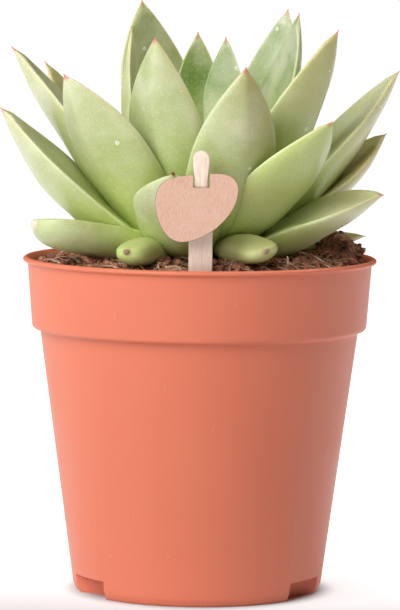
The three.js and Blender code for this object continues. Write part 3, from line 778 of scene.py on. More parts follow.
def drain_cutters():
    """Upright drums that cut the ring of drainage holes."""
    angles = full_turn(DRAIN_SIDES)
    circle = DRAIN_RADIUS * np.stack([np.cos(angles), np.sin(angles)], -1)
    low, high = FLOOR_Z - 1, FLOOR_TOP_Z + 1
    shapes = []
    for i in range(DRAIN_COUNT):
        turn = (i + 0.5) * 2 * math.pi / DRAIN_COUNT
        centre = np.array([DRAIN_RING_RADIUS * math.cos(turn), DRAIN_RING_RADIUS * math.sin(turn)])
        plan = centre + circle
        rings = np.stack([np.column_stack([plan, np.full(DRAIN_SIDES, z)]) for z in (low, high)])
        shapes.append(tube(rings, (*centre, low), (*centre, high)))
    return shapes


def soil_height(x, y):
    """Height of the soil's top: its profile by distance from the axis, low waves, the mound, and
    crumbly lumps at three scales that grow flatter at the wall."""
    radius = np.hypot(x, y)
    profile = np.array(SOIL_PROFILE, float)
    height = np.interp(radius, profile[:, 0], profile[:, 1])
    for along_x, along_y in SOIL_WAVES:
        height = height + SOIL_WAVE_HEIGHT * np.sin(x * along_x + y * along_y)
    mound_x, mound_y, mound_radius, mound_height = SOIL_MOUND
    away = np.hypot(x - mound_x, y - mound_y) / mound_radius
    height = height + mound_height * np.maximum(0, 1 - away * away) ** 2
    lumps = sum(rise * value_noise(x, y, cell, seed) for rise, cell, seed in SOIL_LUMPS)
    return height + lumps * (1 - SOIL_FLATTENING * smooth_step(*SOIL_BAND, radius))


def soil_shape():
    """The soil as one lathed body: its hidden foot and side, and its lumpy top from the wall to the
    axis."""
    clear = WALL + SOIL_GAP
    foot = FLOOR_TOP_Z + SOIL_GAP
    edge = SOIL_PROFILE[-1][0]
    side = [(0, foot), (body_radius(foot) - clear, foot), (BODY_TOP_RADIUS - clear, COLLAR_FOOT_Z + 2.2),
            (COLLAR_FOOT_RADIUS - clear, COLLAR_FOOT_Z + 2.6)]
    top = [(radius, SOIL_PROFILE[0][1]) for radius in np.linspace(edge, 1.0, SOIL_RINGS)]
    profile = np.array([*side, *top, (0, SOIL_PROFILE[0][1])], float)

    def crumbly(radius, height, angles):
        surface = soil_height(radius * np.cos(angles), radius * np.sin(angles))
        is_top = np.arange(len(radius))[:, None] >= len(side) - 1
        return radius, np.where(is_top, surface, height)

    return lathe(profile, SOIL_COLUMNS, crumbly)


def scattered(draw, count, reach):
    """Plan positions strewn evenly over the ring between two radii."""
    away = np.sqrt(draw.uniform((reach[0] / reach[1]) ** 2, 1, count)) * reach[1]
    turn = draw.uniform(0, 2 * np.pi, count)
    return away * np.cos(turn), away * np.sin(turn)


def strewn(points, rows, sides, material, flat):
    """Many small tubes as one shape, from the start point, the rings and the end point of each."""
    step = (np.arange(len(points)) * points.shape[1])[:, None, None]
    quads, triangles = tube_faces(rows, sides)
    return {
        "points": points.reshape(-1, 3), "quads": (quads + step).reshape(-1, 4),
        "triangles": (triangles + step).reshape(-1, 3), "marks": {}, "material": material, "flat": flat,
    }


def crumbs(count, sizes, flatness, reach, seed, material):
    """Small irregular lumps on the soil: each is a ball of rings and sides whose radius wanders,
    squashed, turned, and set with its middle a little above the surface."""
    draw = np.random.default_rng(seed)
    rows, sides = 5, 7
    x, y = scattered(draw, count, reach)
    # Most are small
    size = sizes[0] + (sizes[1] - sizes[0]) * draw.uniform(0, 1, count) ** 2.2
    polar = (np.pi * (np.arange(rows) + 1) / (rows + 1))[:, None]
    turn = full_turn(sides)
    ball = np.stack(np.broadcast_arrays(np.sin(polar) * np.cos(turn), np.sin(polar) * np.sin(turn),
                                        np.cos(polar)), -1)
    points = ball.reshape(1, -1, 3) * draw.uniform(0.72, 1.22, (count, rows * sides, 1))
    poles = np.array([[0, 0, 1.0], [0, 0, -1.0]])[None] * draw.uniform(0.8, 1.1, (count, 2, 1))
    full = np.concatenate([poles[:, :1], points, poles[:, 1:]], 1)
    stretch = np.stack([draw.uniform(*limits, count) for limits in ((0.7, 1.5), (0.7, 1.2), flatness)], -1)
    full = full * stretch[:, None] * size[:, None, None]
    heading, tilt = draw.uniform(0, 2 * np.pi, count), draw.normal(0, 0.35, count)
    c, s, ct, st = (f(a)[:, None] for a in (heading, tilt) for f in (np.cos, np.sin))
    px, py, pz = full[..., 0], full[..., 1], full[..., 2]
    px, pz = px * ct - pz * st, px * st + pz * ct
    px, py = px * c - py * s, px * s + py * c
    lift = soil_height(x, y) + 0.3 * size * stretch[:, 2]
    placed = np.stack([px + x[:, None], py + y[:, None], pz + lift[:, None]], -1)
    return strewn(placed, rows, sides, material, True)


def fibres(count, lengths, radii, reach, seed, material):
    """Loose threads on the soil: each follows a bent arc over the surface, and its middle stands a
    little off it. A thread is a five-sided tube that thins to both ends."""
    draw = np.random.default_rng(seed)
    rows, sides = 12, 5
    x, y = scattered(draw, count, reach)
    heading = draw.uniform(0, 2 * np.pi, count)[:, None]
    length = draw.uniform(*lengths, count)[:, None]
    s = np.linspace(-0.5, 0.5, rows)
    bend = draw.normal(0, 0.55, count)[:, None]
    kink = draw.normal(0, 0.25, count)[:, None]
    forward = length * s
    sideways = length * (bend * (s ** 2) + kink * np.sin(6 * s) * 0.3)
    x = x[:, None] + forward * np.cos(heading) - sideways * np.sin(heading)
    y = y[:, None] + forward * np.sin(heading) + sideways * np.cos(heading)
    limit = np.minimum(1, reach[1] / np.hypot(x, y))
    x, y = x * limit, y * limit
    arch = draw.gamma(1.2, 1.6, count)[:, None] * (0.25 - s ** 2) * 2
    arch = arch + draw.normal(0, 0.6, count)[:, None] * s
    z = soil_height(x, y) + 0.15 + np.abs(arch)
    line = np.stack([x, y, z], -1)
    onward = unit(np.gradient(line, axis=1))
    across = unit(np.cross(onward, [0, 0, 1.0]))
    upward = np.cross(across, onward)
    radius = (draw.uniform(*radii, count)[:, None] * (1 - 0.75 * (2 * np.abs(s)) ** 3))[..., None, None]
    turn = full_turn(sides)[:, None]
    rings = (line[:, :, None] + radius * np.cos(turn) * across[:, :, None]
             + radius * np.sin(turn) * upward[:, :, None])
    full = np.concatenate([line[:, :1], rings.reshape(count, -1, 3), line[:, -1:]], 1)
    return strewn(full, rows, sides, material, False)


# Shapes of the plant


def width_share(t, blunt, end):
    """Share of the half width at t: a sine swells it from the root to the widest place, and a power
    curve closes it at the tip."""
    swelling = ROOT_WIDTH + (1 - ROOT_WIDTH) * np.sin(np.pi / 2 * np.clip(t / WIDEST_AT, 0, 1)) ** SWELL
    closing = 1 - (1 - np.clip((1 - t) / (1 - WIDEST_AT), 0, 1)) ** blunt
    return np.where(t < WIDEST_AT, swelling, closing ** end)


def thickness_share(t, thinning, end):
    """Share of the thickness at t: it rises along a sine from the root and thins along a power curve to
    the tip."""
    rise = ROOT_THICKNESS + (1 - ROOT_THICKNESS) * np.sin(np.pi / 2 * np.minimum(t / THICKEST_AT, 1))
    return rise * (1 - (1 - np.clip((1 - t) / THINS_OVER, 0, 1)) ** thinning) ** end


def leaf_shape(leaf, look, number, grid=LEAF_GRID):
    """A leaf as cross-sections along a quadratic curve from root to tip. The upper half of a section is
    a rounded rim less a shallow hollow, or half an ellipse where the leaf is domed. The lower half
    blends half an ellipse with a ridge, 1 - |x|^p, whose share grows towards the tip, so that the
    underside gains a soft keel and the margins stay round. A stub has no keel and boxier sections. Slow
    sines vary each edge, and the skin swells a little. The last rings draw the tip out to a small point
    or a dried knob. The olive mark is painted shade: it grows as the skin faces SHADED_SIDE, the side
    turned from the key light, and reaches round a leaf whose olive is strong."""
    rows, columns = grid
    root, tip = np.array(leaf["root"], float), np.array(leaf["tip"], float)
    width, roll = leaf["width"], math.radians(leaf.get("roll", 0))
    fat, dish = leaf.get("fat", look.thickness), leaf.get("dish", look.dish)
    blunt, end_power = leaf.get("blunt", BLUNT), leaf.get("end", 1.0)
    stub = end_power < 1
    chord = tip - root
    heading = chord / np.linalg.norm(chord)
    up = unit(np.array([0, 0, 1.0]) - heading * heading[2])
    control = root + chord / 2 - 2 * leaf.get("bow", 0) * up
    t = 1 - (1 - np.linspace(0, 1, rows)) ** TIP_CROWDING
    u = t[:, None]
    centre = (1 - u) ** 2 * root + 2 * u * (1 - u) * control + u ** 2 * tip
    tangent = unit(2 * (1 - u) * (control - root) + 2 * u * (tip - control))
    level = unit(up - tangent * (tangent @ up)[:, None])
    across = np.cross(tangent, level)
    face = level * math.cos(roll) + across * math.sin(roll)
    side = across * math.cos(roll) - level * math.sin(roll)

    even = full_turn(columns)
    angle = even - MARGIN_CROWDING * np.sin(2 * even)
    cos, sin = np.cos(angle), np.sin(angle)
    knob = leaf.get("nub", 0)
    point_radius = knob or POINT_RADIUS
    half = np.maximum(width / 2 * width_share(t, blunt, end_power), point_radius)[:, None]
    thinning = blunt if stub else THINNING
    deep = np.maximum(width * fat * thickness_share(t, thinning, end_power), point_radius)[:, None]
    hollow = (width * dish * np.sin(np.pi * t) ** DISH_SPREAD)[:, None]
    rim = np.maximum(np.minimum(width * look.rim, half / 2), point_radius * CAP_FLATNESS)
    phase = 2 * np.pi * spread(number * 7 + 3)
    first_wave, second_wave = EDGE_WAVES
    edge_wave = np.where(cos > 0, np.sin(first_wave * u + phase), np.sin(second_wave * u - 2 * phase))
    half = half * (1 + look.edge_wave * edge_wave * np.sin(np.pi * u) ** 0.5)
    plump = np.abs(sin) ** (STUB_POWER if stub else 1)
    above = (rim - hollow) * plump if dish < 0 else rim * sin - hollow * sin ** 2
    keel = 0 if stub else leaf.get("keel", look.keel) * smooth_step(*KEEL_SPAN, u)
    below = -deep * ((1 - keel) * plump + keel * (1 - np.abs(cos) ** KEEL_POWER))
    lift = np.where(sin >= 0, above, below)
    # Two soft ridges on the upper face, pressed in while the leaf was still in the bud
    ridges = np.exp(-((np.abs(cos) - IMPRINT_AT) / IMPRINT_WIDTH) ** 2)
    imprint = ridges * smooth_step(*IMPRINT_SPAN, u) * (1 - u)
    lift = lift + np.where((sin > 0.3) & (dish >= 0), look.imprint * imprint, 0)
    swell = sum(np.sin(a * u + b * cos + c * phase) for a, b, c in SKIN_WAVES) * np.abs(sin)
    lift = lift + look.skin_wave * swell * np.sin(np.pi * u) ** 0.5 * (width / FULL_WIDTH)
    rings = centre[:, None] + side[:, None] * (half * cos)[..., None] + face[:, None] * lift[..., None]
    facing = unit(np.cross(np.gradient(rings, axis=0), np.roll(rings, -1, 1) - np.roll(rings, 1, 1)))
    facing = facing * np.sign(np.sum(facing * (rings - centre[:, None])))
    # Painted shade: the olive tint grows as the skin turns towards SHADED_SIDE, away from the key light
    olive = leaf.get("olive", OLIVE_SHADE)
    reach_round = max(0.0, olive - STRONG_OLIVE_SHADE) * 5
    shade_facing = smooth_step(OLIVE_SHADE_START - reach_round, OLIVE_SHADE_FULL - 0.4 * reach_round, facing @ unit(np.array(SHADED_SIDE)))

    past_tip = np.array(CAP_REACH)[:, None] * point_radius * (STUB_STRETCH if stub else FINE_STRETCH)
    cap_radius = point_radius * np.array(CAP_SIZE)[:, None]
    cap_centre = tip + tangent[-1] * past_tip
    cap = (cap_centre[:, None] + side[-1] * (cap_radius * cos)[..., None]
           + face[-1] * (cap_radius * sin * CAP_FLATNESS)[..., None])
    rings = np.concatenate([rings, cap])
    end = tip + tangent[-1] * past_tip[-1] * 1.15

    extra = len(CAP_REACH)
    full_t = np.concatenate([t, np.ones(extra)])[:, None]
    inset = np.hypot(half * (1 - np.abs(cos)), 0.8 * lift)
    inset = np.concatenate([inset, np.zeros((extra, columns))])
    from_tip = np.linalg.norm(rings - cap_centre[1], axis=-1)
    shade_facing = np.concatenate([shade_facing, np.repeat(shade_facing[-1:], extra, 0)])
    marks = {
        "along": full_t, "rim": width if knob else inset, "point": from_tip + (KNOB_CLEAR if knob else 0),
        "tone": leaf.get("tone", TONE_LEAST + TONE_RANGE * abs(spread(number * 5 + 2))),
        # Lime green towards the root and on leaves given lime: partly the leaf's own colour, partly painted
        # light that brightens shade
        "lime": np.maximum(leaf.get("lime", 0), ROOT_LIME * (1 - smooth_step(*ROOT_LIME_SPAN, full_t))),
        "olive": olive * shade_facing * smooth_step(*OLIVE_SHADE_SPAN, full_t),
        "tint": leaf.get("tint", PINKNESS),
        "dry": 1 - smooth_step(0.9 * knob, 1.3 * knob, from_tip) if knob else 0.0,
    }
    return tube(rings, root - tangent[0] * 0.5, end, marks)


def point_at(degrees, reach, height):
    """A point at an angle and a distance from the crown's middle."""
    angle = math.radians(degrees)
    return (CROWN_CENTRE[0] + reach * math.cos(angle), CROWN_CENTRE[1] + reach * math.sin(angle), height)


def grown_leaf(degrees, reach, height, family, **more):
    """A leaf that grows out of the crown at an angle, with its family's root, width and bow."""
    return dict(tip=point_at(degrees, reach, height), root=point_at(degrees, *family["root"]),
                width=family["width"], bow=family["bow"], **more)


def back_leaves():
    """The leaves on the far side, tier by tier, with a small fixed jitter in angle, reach and
    height."""
    leaves = []
    for tier in BACK_TIERS:
        for i in range(tier["count"]):
            first = len(leaves) * 3 + 1
            turn, out, rise = (spread(first + j) * BACK_JITTER for j in range(3))
            leaves.append(grown_leaf(tier["start"] + i * tier["step"] + turn, tier["reach"] + out,
                                     tier["height"] + rise, tier))
    return leaves


def heart_leaves():
    """The young leaves on the crown, one golden angle apart."""
    return [
        grown_leaf(HEART["start"] + i * GOLDEN_ANGLE, HEART["reach"] + i * HEART["reach_step"],
                   HEART["height"] + i * HEART["height_step"], HEART, tone=0.8)
        for i in range(HEART["count"]) if i not in HEART["skip"]
    ]


def crown_shape():
    """The stem and dome as a lathed body, moved to the crown's middle."""
    profile = rounded([(radius, z, 1.5) for radius, z in CROWN_PROFILE], 4)
    shape = lathe(profile, CROWN_COLUMNS)
    shape["points"] = shape["points"] + np.array([*CROWN_CENTRE, 0])
    count = len(shape["points"])
    marks = {"along": 0.1, "rim": 5.0, "point": 50.0, "tone": 0.7}
    shape["marks"] = {key: np.full(count, value) for key, value in marks.items()}
    return shape


# Shapes of the stake and the tag


def leaning(x, height, depth, ground, lean):
    """Points of an upright plate that leans about the X direction at a ground point: height runs up the
    plate, and depth runs towards its front."""
    turn = math.radians(lean)
    x, height, depth = np.broadcast_arrays(x, height, depth)
    forward = height * math.sin(turn) + depth * math.cos(turn)
    upward = height * math.cos(turn) - depth * math.sin(turn)
    return np.stack([ground[0] + x, ground[1] - forward, ground[2] + upward], -1)


def stake_shape():
    """A flat stick: rounded rectangles stacked along its height, with the half width from the profile,
    smoothed, and a half-round head."""
    profile = np.array(STAKE_PROFILE, float)
    top = profile[-1, 0]
    z = np.concatenate([
        np.linspace(profile[0, 0], top, STAKE_ROWS),
        top + STAKE_HEAD_RADIUS * np.sin(np.linspace(0.05, np.pi / 2 - 0.03, STAKE_HEAD_ROWS)),
    ])
    half = np.interp(z, profile[:, 0], profile[:, 1])
    near = 3
    kernel = np.ones(2 * near + 1) / (2 * near + 1)
    smoothed = np.convolve(np.pad(half, near, "edge"), kernel, "valid")
    half = np.where(z < top, smoothed, half)
    head = np.sqrt(np.maximum(STAKE_HEAD_RADIUS ** 2 - np.maximum(z - top, 0) ** 2, 0.01))
    half = np.where(z > top, head, half)[:, None]
    corner = np.minimum(STAKE_CORNER, half / 2)
    steps = STAKE_CORNER_STEPS
    turn = np.repeat(np.arange(4) * np.pi / 2, steps) + np.tile(np.linspace(0, np.pi / 2, steps), 4)
    side_x = np.repeat([1, -1, -1, 1], steps)
    side_y = np.repeat([1, 1, -1, -1], steps)
    x = side_x * (half - corner) + corner * np.cos(turn)
    depth = side_y * (STAKE_THICKNESS / 2 - corner) + corner * np.sin(turn)
    rings = leaning(x, (z - STAKE_GROUND[2])[:, None], depth, STAKE_GROUND, STAKE_LEAN)
    return tube(rings, rings[0].mean(0), rings[-1].mean(0))


def tag_outline():
    """The tag's outline as points from its cubic curves, with the slot cut in where the curve passes
    it."""
    t = np.linspace(0, 1, TAG_CURVE_STEPS, endpoint=False)[:, None]
    line, start = [], np.array(TAG_START, float)
    for leave, arrive, end in TAG_CURVES:
        a, b, c = (np.array(point, float) for point in (leave, arrive, end))
        leaving = (1 - t) ** 3 * start + 3 * t * (1 - t) ** 2 * a
        line.append(leaving + 3 * t ** 2 * (1 - t) * b + t ** 3 * c)
        start = c
    line = np.concatenate(line)
    in_slot = (line[:, 0] > SLOT_LEFT) & (line[:, 0] < SLOT_RIGHT) & (line[:, 1] > SLOT_FLOOR_Z)
    first = np.argmax(in_slot)
    last = len(line) - np.argmax(in_slot[::-1])
    edge_right, edge_left = line[first - 1][1], line[last][1]
    shoulder = SLOT_FLOOR_Z + SLOT_CORNER
    slot = np.array([
        (SLOT_RIGHT, edge_right), (SLOT_RIGHT, shoulder), (SLOT_RIGHT - SLOT_CORNER, SLOT_FLOOR_Z),
        (SLOT_LEFT + SLOT_CORNER, SLOT_FLOOR_Z), (SLOT_LEFT, shoulder), (SLOT_LEFT, edge_left),
    ])
    return np.concatenate([line[:first], slot, line[last:]])


def tag_object(name, materials):
    """A thin plate: the outline's front and back faces, and a cut edge with a small bevel at each face.
    The bevel moves each outline point in along the mean of its neighbours' directions."""
    outline = tag_outline()
    ahead = unit(np.roll(outline, -1, 0) - outline)
    behind = unit(outline - np.roll(outline, 1, 0))
    inward = unit(np.stack([-(ahead + behind)[:, 1], (ahead + behind)[:, 0]], -1))
    rise = (SLOT_FLOOR_Z - STAKE_GROUND[2]) * math.tan(math.radians(STAKE_LEAN))
    middle = STAKE_GROUND[1] - rise - STAKE_THICKNESS / 2 - TAG_GAP - TAG_THICKNESS / 2
    half = TAG_THICKNESS / 2
    layers = ((half, TAG_BEVEL), (half - TAG_BEVEL, 0), (TAG_BEVEL - half, 0), (-half, TAG_BEVEL))
    rings = []
    for depth, inset in layers:
        x, z = (outline + inward * inset).T
        rings.append(leaning(x, z - SLOT_FLOOR_Z, depth, (0, middle, SLOT_FLOOR_Z), TAG_LEAN))
    points = np.concatenate(rings) * MM + AXIS
    count = len(outline)
    here, there = np.arange(count), (np.arange(count) + 1) % count
    faces = [list(range(count)), list(range(4 * count - 1, 3 * count - 1, -1))]
    for layer in range(3):
        low, high = layer * count, (layer + 1) * count
        faces += np.stack([low + there, low + here, high + here, high + there], -1).tolist()
    mesh = bpy.data.meshes.new(name)
    mesh.from_pydata(points.tolist(), [], faces)
    piece = placed_object(name, mesh, materials)
    for face in mesh.polygons:
        face.material_index = 0 if face.index < 2 else 1
    mesh.update(calc_edges=True)
    return piece


# Settings


def colour_setting(name, description, code):
    """A colour that the sidebar shows, with its default as an sRGB hex value."""
    return bpy.props.FloatVectorProperty(
        name=name, description=description, default=linear(code), subtype="COLOR", size=3, min=0, max=1,
    )


def number_setting(name, description, default, high=1.0, low=0.0, **more):
    """A number that the sidebar shows, with its default, its limits and its unit or subtype, if any."""
    return bpy.props.FloatProperty(
        name=name, description=description, default=default, min=low, max=high, **more,
    )


def share_setting(name, description, default):
    """A share from 0 to 1 that the sidebar shows."""
    return number_setting(name, description, default, subtype="FACTOR")


def count_setting(name, description, default):
    """A whole number that the sidebar shows."""
    return bpy.props.IntProperty(name=name, description=description, default=default, min=0, max=3000)


class EcheveriaLeafSettings(bpy.types.PropertyGroup):
    """Sizes and colours of the leaves."""

    thickness: number_setting("Thickness", "Thickness over width", 0.31, 0.6, subtype="FACTOR")
    dish: number_setting("Dish", "Hollow of the upper face over the width", 0.09, 0.4, -0.4)
    rim: number_setting("Rim", "Radius of the rounded margin over the width", 0.06, 0.2, 0.01)
    keel: share_setting("Keel", "Share of the ridge in the underside", 0.55)
    edge_wave: number_setting("Edge wave", "How far an edge wanders, over the half width", 0.018, 0.1)
    skin_wave: number_setting("Skin wave", "Height in mm of the slow swells in the skin", 0.16)
    imprint: number_setting("Bud imprint", "Height in mm of the ridges pressed in by other leaves", 0.5)
    roughness: share_setting("Roughness", "Roughness of the waxy skin", 0.36)
    speckle: share_setting("Speckle", "Strength of the pale speckle", 0.26)
    margin_strength: share_setting("Margin strength", "Strength of the pale margin", 0.4)
    water_marks: share_setting("Water marks", "Strength of the dried water marks", 0.75)
    green: colour_setting("Green", "Colour of a full-grown leaf", "#C1C491")
    deep_green: colour_setting("Deep green", "Colour of the youngest leaves", "#618C3C")
    # Partly painted light: the lime green that brightens the roots and the leaves that lie in shade
    root_green: colour_setting("Root green", "Colour towards the root", "#B3C65B")
    bloom: colour_setting("Bloom", "Colour of the waxy bloom", "#D8D9BF")
    speck: colour_setting("Speck", "Colour of the pale speckle", "#DEE5CC")
    # Painted shade: the olive tint on the side of the leaves that is turned from the key light
    flush: colour_setting("Flush", "Olive flush on the sunny side", "#B09C58")
    margin: colour_setting("Margin", "Pale margin", "#D9E0BC")
    brown_margin: colour_setting("Brown margin", "Margin towards the tip", "#CDA693")
    pink_point: colour_setting("Pink point", "Point of most leaves", "#CE5B66")
    brown_point: colour_setting("Brown point", "Point of the weathered leaves", "#A67A58")
    dry_point: colour_setting("Dry point", "Brown point of a stub", "#6E4433")
    bleached_point: colour_setting("Bleached point", "Point of a stub that has bleached", "#DCC8B4")
    water_mark: colour_setting("Water mark", "Colour of a dried water mark", "#F2F5EA")


class EcheveriaPotSettings(bpy.types.PropertyGroup):
    """Colours of the pot."""

    terracotta: colour_setting("Terracotta", "Colour of the plastic", "#D87253")
    faded: colour_setting("Faded", "Colour where the plastic is paler", "#DC7B5B")
    scuff: colour_setting("Scuff", "Colour of scuffs and dust", "#EDB9A0")


class EcheveriaSoilSettings(bpy.types.PropertyGroup):
    """Amounts and colours of the soil and what lies on it."""

    crumb_count: count_setting("Crumbs", "Number of peat crumbs", 950)
    chip_count: count_setting("Bark chips", "Number of bark chips", 110)
    perlite_count: count_setting("Perlite", "Number of pale grains", 60)
    fibre_count: count_setting("Fibres", "Number of coir fibres", 620)
    peat_dark: colour_setting("Peat, dark", "Darkest peat", "#4E2F24")
    peat_light: colour_setting("Peat, light", "Lightest peat", "#B87D62")
    bark_dark: colour_setting("Bark, dark", "Darkest bark", "#6E3A27")
    bark_light: colour_setting("Bark, light", "Lightest bark", "#C78E6B")
    fibre_dark: colour_setting("Fibre, dark", "Darkest fibre", "#96603F")
    fibre_light: colour_setting("Fibre, light", "Lightest fibre", "#E8C7A8")
    grain_dark: colour_setting("Perlite, dark", "Darkest pale grain", "#A68E80")
    grain_light: colour_setting("Perlite, light", "Lightest pale grain", "#E6D9CF")


class EcheveriaStickSettings(bpy.types.PropertyGroup):
    """Colours of the stake and the tag."""

    birch: colour_setting("Birch", "Colour of the stake", "#EED9C9")
    pale_birch: colour_setting("Pale birch", "Lightest grain of the stake", "#F4E3D6")
    grain: colour_setting("Grain", "Darkest grain of the stake", "#E4C7B2")
    board: colour_setting("Board", "Colour of the tag", "#CCA38E")
    board_dark: colour_setting("Board, dark", "Darkest fibre of the tag", "#BF937C")
    board_light: colour_setting("Board, light", "Lightest fibre of the tag", "#D5B09D")
    edge_dark: colour_setting("Edge, dark", "Darkest part of the cut edge", "#4F3022")
    edge_light: colour_setting("Edge, light", "Lightest part of the cut edge", "#9A6B4E")


class EcheveriaStageSettings(bpy.types.PropertyGroup):
    """Light and floor."""

    key_power: number_setting("Key light", "Softbox at the front left", 35.0, 500.0, unit="POWER")
    top_power: number_setting("Top light", "Softbox overhead", 7.0, 500.0, unit="POWER")
    strip_power: number_setting("Strip light", "Strip behind on the left", 3.0, 500.0, unit="POWER")
    sky: number_setting("Surroundings", "Brightness of the room", 0.04, 2.0)
    paper_glow: number_setting("Floor glow", "Light that comes through the floor", 1.0, 2.0)
    paper: colour_setting("Paper", "Colour of the floor", "#B4B4B5")
    room: colour_setting("Room", "Colour of the light from the room", "#FFDFC0")


# Operators


class ECHEVERIA_OT_pot(bpy.types.Operator):
    """Build the nursery pot, with its lip, collar, notched foot and drainage holes"""

    bl_idname = "echeveria.pot"
    bl_label = "Nursery pot"

    def execute(self, context):
        piece = mesh_object("nursery_pot", [pot_shape()], [pot_material(context.scene.echeveria_pot)])
        cutter = mesh_object("drain_cutter", drain_cutters(), [])
        cut = piece.modifiers.new("Drains", "BOOLEAN")
        cut.operation = "DIFFERENCE"
        cut.object = cutter
        cut.solver = "EXACT"
        context.view_layer.update()
        depsgraph = context.evaluated_depsgraph_get()
        whole = bpy.data.meshes.new_from_object(piece.evaluated_get(depsgraph))
        piece.modifiers.clear()
        whole.set_sharp_from_angle(angle=math.radians(SHARP_ANGLE))
        piece.data = whole
        bpy.data.objects.remove(cutter)
        dress(piece, "pot", "pot")
        return {"FINISHED"}


class ECHEVERIA_OT_soil(bpy.types.Operator):
    """Build the soil with its lumpy top, and the crumbs, bark, pale grains and fibres on it"""

    bl_idname = "echeveria.soil"
    bl_label = "Soil"

    def execute(self, context):
        look = context.scene.echeveria_soil
        peat = crumb_material("Peat, loose", look.peat_dark, look.peat_light, 2.4, 0.95)
        bark = crumb_material("Bark chips", look.bark_dark, look.bark_light, 3.0, 0.85)
        coir = crumb_material("Coir fibres", look.fibre_dark, look.fibre_light, 5.0, 0.8)
        perlite = crumb_material("Perlite", look.grain_dark, look.grain_light, 1.2, 0.9)
        dress(mesh_object("peat_soil", [soil_shape()], [peat]), "soil", "soil")
        loose = [
            crumbs(count, sizes, flatness, reach, seed, material)
            for count, sizes, flatness, reach, seed, material in (
                (look.crumb_count, (0.5, 2.3), (0.6, 1.0), (16, 55.5), 21, 0),
                (look.chip_count, (1.2, 3.2), (0.25, 0.45), (18, 54.5), 22, 1),
                (look.perlite_count, (0.4, 1.1), (0.7, 1.0), (20, 55.0), 23, 2),
            )
        ]
        dress(mesh_object("soil_crumbs", loose, [peat, bark, perlite]), "soil")
        threads = fibres(
            look.fibre_count, lengths=(5, 19), radii=(0.1, 0.26), reach=(18, 55.0), seed=24, material=0,
        )
        dress(mesh_object("soil_fibres", [threads], [coir]), "soil")
        return {"FINISHED"}


class ECHEVERIA_OT_leaves(bpy.types.Operator):
    """Build every leaf of the rosette"""

    bl_idname = "echeveria.leaves"
    bl_label = "Leaves"

    def execute(self, context):
        look = context.scene.echeveria_leaf
        flesh = leaf_material("Echeveria leaf flesh, waxy skin", look)
        named = [(f"leaf_{i + 1:02d}", leaf) for i, leaf in enumerate(LEAVES)]
        named += [(f"leaf_back_{i + 1}", leaf) for i, leaf in enumerate(back_leaves())]
        for number, (node, leaf) in enumerate(named):
            piece = mesh_object(f"fleshy_{node}", [leaf_shape(leaf, look, number)], [flesh])
            dress(piece, "leaf", node)
        return {"FINISHED"}


class ECHEVERIA_OT_crown(bpy.types.Operator):
    """Build the stem and dome with the young heart leaves"""

    bl_idname = "echeveria.crown"
    bl_label = "Crown"

    def execute(self, context):
        look = context.scene.echeveria_leaf
        flesh = leaf_material("Echeveria heart flesh, waxy skin", look)
        shapes = [crown_shape()]
        for number, leaf in enumerate(heart_leaves(), HEART_FIRST):
            shapes.append(leaf_shape(leaf, look, number, HEART_GRID))
        dress(mesh_object("rosette_crown", shapes, [flesh]), "heart", "crown")
        return {"FINISHED"}


class ECHEVERIA_OT_stake(bpy.types.Operator):
    """Build the wooden stake"""

    bl_idname = "echeveria.stake"
    bl_label = "Stake"

    def execute(self, context):
        wood = stake_material(context.scene.echeveria_stick)
        dress(mesh_object("wooden_stake", [stake_shape()], [wood]), "stake", "stake")
        return {"FINISHED"}


class ECHEVERIA_OT_tag(bpy.types.Operator):
    """Build the plain tag"""

    bl_idname = "echeveria.tag"
    bl_label = "Tag"

    def execute(self, context):
        look = context.scene.echeveria_stick
        piece = tag_object("plain_tag", [tag_material(look), edge_material(look)])
        dress(piece, "tag", "tag")
        return {"FINISHED"}


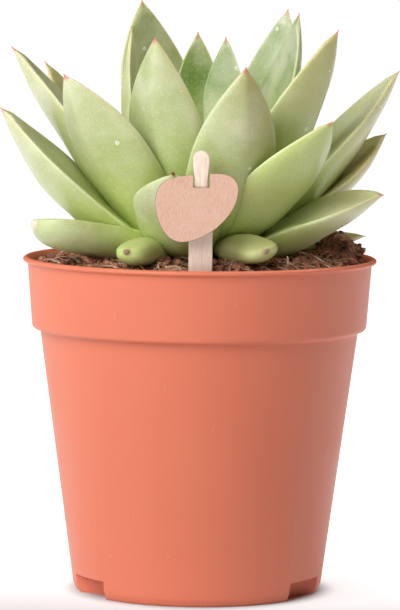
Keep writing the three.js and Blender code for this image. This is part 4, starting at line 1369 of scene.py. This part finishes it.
class ECHEVERIA_OT_stage(bpy.types.Operator):
    """Set the floor, the lights, the surroundings and the camera"""

    bl_idname = "echeveria.stage"
    bl_label = "Stage"

    def execute(self, context):
        scene = context.scene
        look = scene.echeveria_stage
        corners = [(x * FLOOR_REACH, y * FLOOR_REACH, 0) for x, y in ((-1, -1), (1, -1), (1, 1), (-1, 1))]
        mesh = bpy.data.meshes.new("floor")
        mesh.from_pydata(corners, [], [(0, 1, 2, 3)])
        placed_object("floor", mesh, [paper_material(look)])

        for name, place, wide, high, power in LIGHTS:
            data = bpy.data.lights.new(name, "AREA")
            data.shape = "RECTANGLE"
            data.size = wide
            data.size_y = high
            data.energy = getattr(look, power)
            back = unit(np.array(place) - np.array(LIGHT_TARGET))
            right = unit(np.cross([0, 0, 1.0], back))
            axes = np.eye(4)
            axes[:3] = np.stack([right, np.cross(back, right), back, place], -1)
            placed_object(name, data).matrix_world = Matrix(axes.tolist())

        world = bpy.data.worlds.new("White room")
        scene.world = world
        world.use_nodes = True
        tree = world.node_tree
        tree.nodes.clear()
        room = add_node(tree, "Background", {"Color": look.room, "Strength": look.sky})
        add_node(tree, "OutputWorld", {"Surface": room})

        data = bpy.data.cameras.new("camera")
        data.sensor_fit = "VERTICAL"
        data.sensor_height = CAMERA_SENSOR
        data.lens = CAMERA_LENS
        data.shift_x = CAMERA_SHIFT_X
        data.clip_end = CAMERA_FAR
        place = Matrix.Translation(np.array(CAMERA_PLACE) + AXIS)
        pitch = Matrix.Rotation(math.radians(90 - CAMERA_PITCH), 4, "X")
        roll = Matrix.Rotation(math.radians(CAMERA_ROLL), 4, "Z")
        scene.camera = placed_object("camera", data)
        scene.camera.matrix_world = place @ pitch @ roll
        scene.view_settings.view_transform = "Standard"
        return {"FINISHED"}


OPERATORS = (
    ECHEVERIA_OT_pot,
    ECHEVERIA_OT_soil,
    ECHEVERIA_OT_leaves,
    ECHEVERIA_OT_crown,
    ECHEVERIA_OT_stake,
    ECHEVERIA_OT_tag,
    ECHEVERIA_OT_stage,
)
SETTINGS = {
    "echeveria_leaf": EcheveriaLeafSettings,
    "echeveria_pot": EcheveriaPotSettings,
    "echeveria_soil": EcheveriaSoilSettings,
    "echeveria_stick": EcheveriaStickSettings,
    "echeveria_stage": EcheveriaStageSettings,
}


class ECHEVERIA_PT_panel(bpy.types.Panel):
    """Lists the steps and their settings"""

    bl_idname = "ECHEVERIA_PT_panel"
    bl_label = "Potted Miranda Echeveria"
    bl_space_type = "VIEW_3D"
    bl_region_type = "UI"
    bl_category = "Echeveria"

    def draw(self, context):
        for operator in OPERATORS:
            self.layout.operator(operator.bl_idname)
        for key, group in SETTINGS.items():
            box = self.layout.box()
            for setting in group.__annotations__:
                box.prop(getattr(context.scene, key), setting)


def register():
    """Registers the settings, the operators and the panel."""
    for key, group in SETTINGS.items():
        bpy.utils.register_class(group)
        setattr(bpy.types.Scene, key, bpy.props.PointerProperty(type=group))
    for operator in OPERATORS:
        bpy.utils.register_class(operator)
    bpy.utils.register_class(ECHEVERIA_PT_panel)


def unregister():
    """Takes back what register did."""
    bpy.utils.unregister_class(ECHEVERIA_PT_panel)
    for operator in reversed(OPERATORS):
        bpy.utils.unregister_class(operator)
    for key, group in SETTINGS.items():
        delattr(bpy.types.Scene, key)
        bpy.utils.unregister_class(group)


def main():
    """Runs every operator in order."""
    register()
    bpy.ops.echeveria.pot()
    bpy.ops.echeveria.soil()
    bpy.ops.echeveria.leaves()
    bpy.ops.echeveria.crown()
    bpy.ops.echeveria.stake()
    bpy.ops.echeveria.tag()
    bpy.ops.echeveria.stage()


if __name__ == "__main__":
    main()
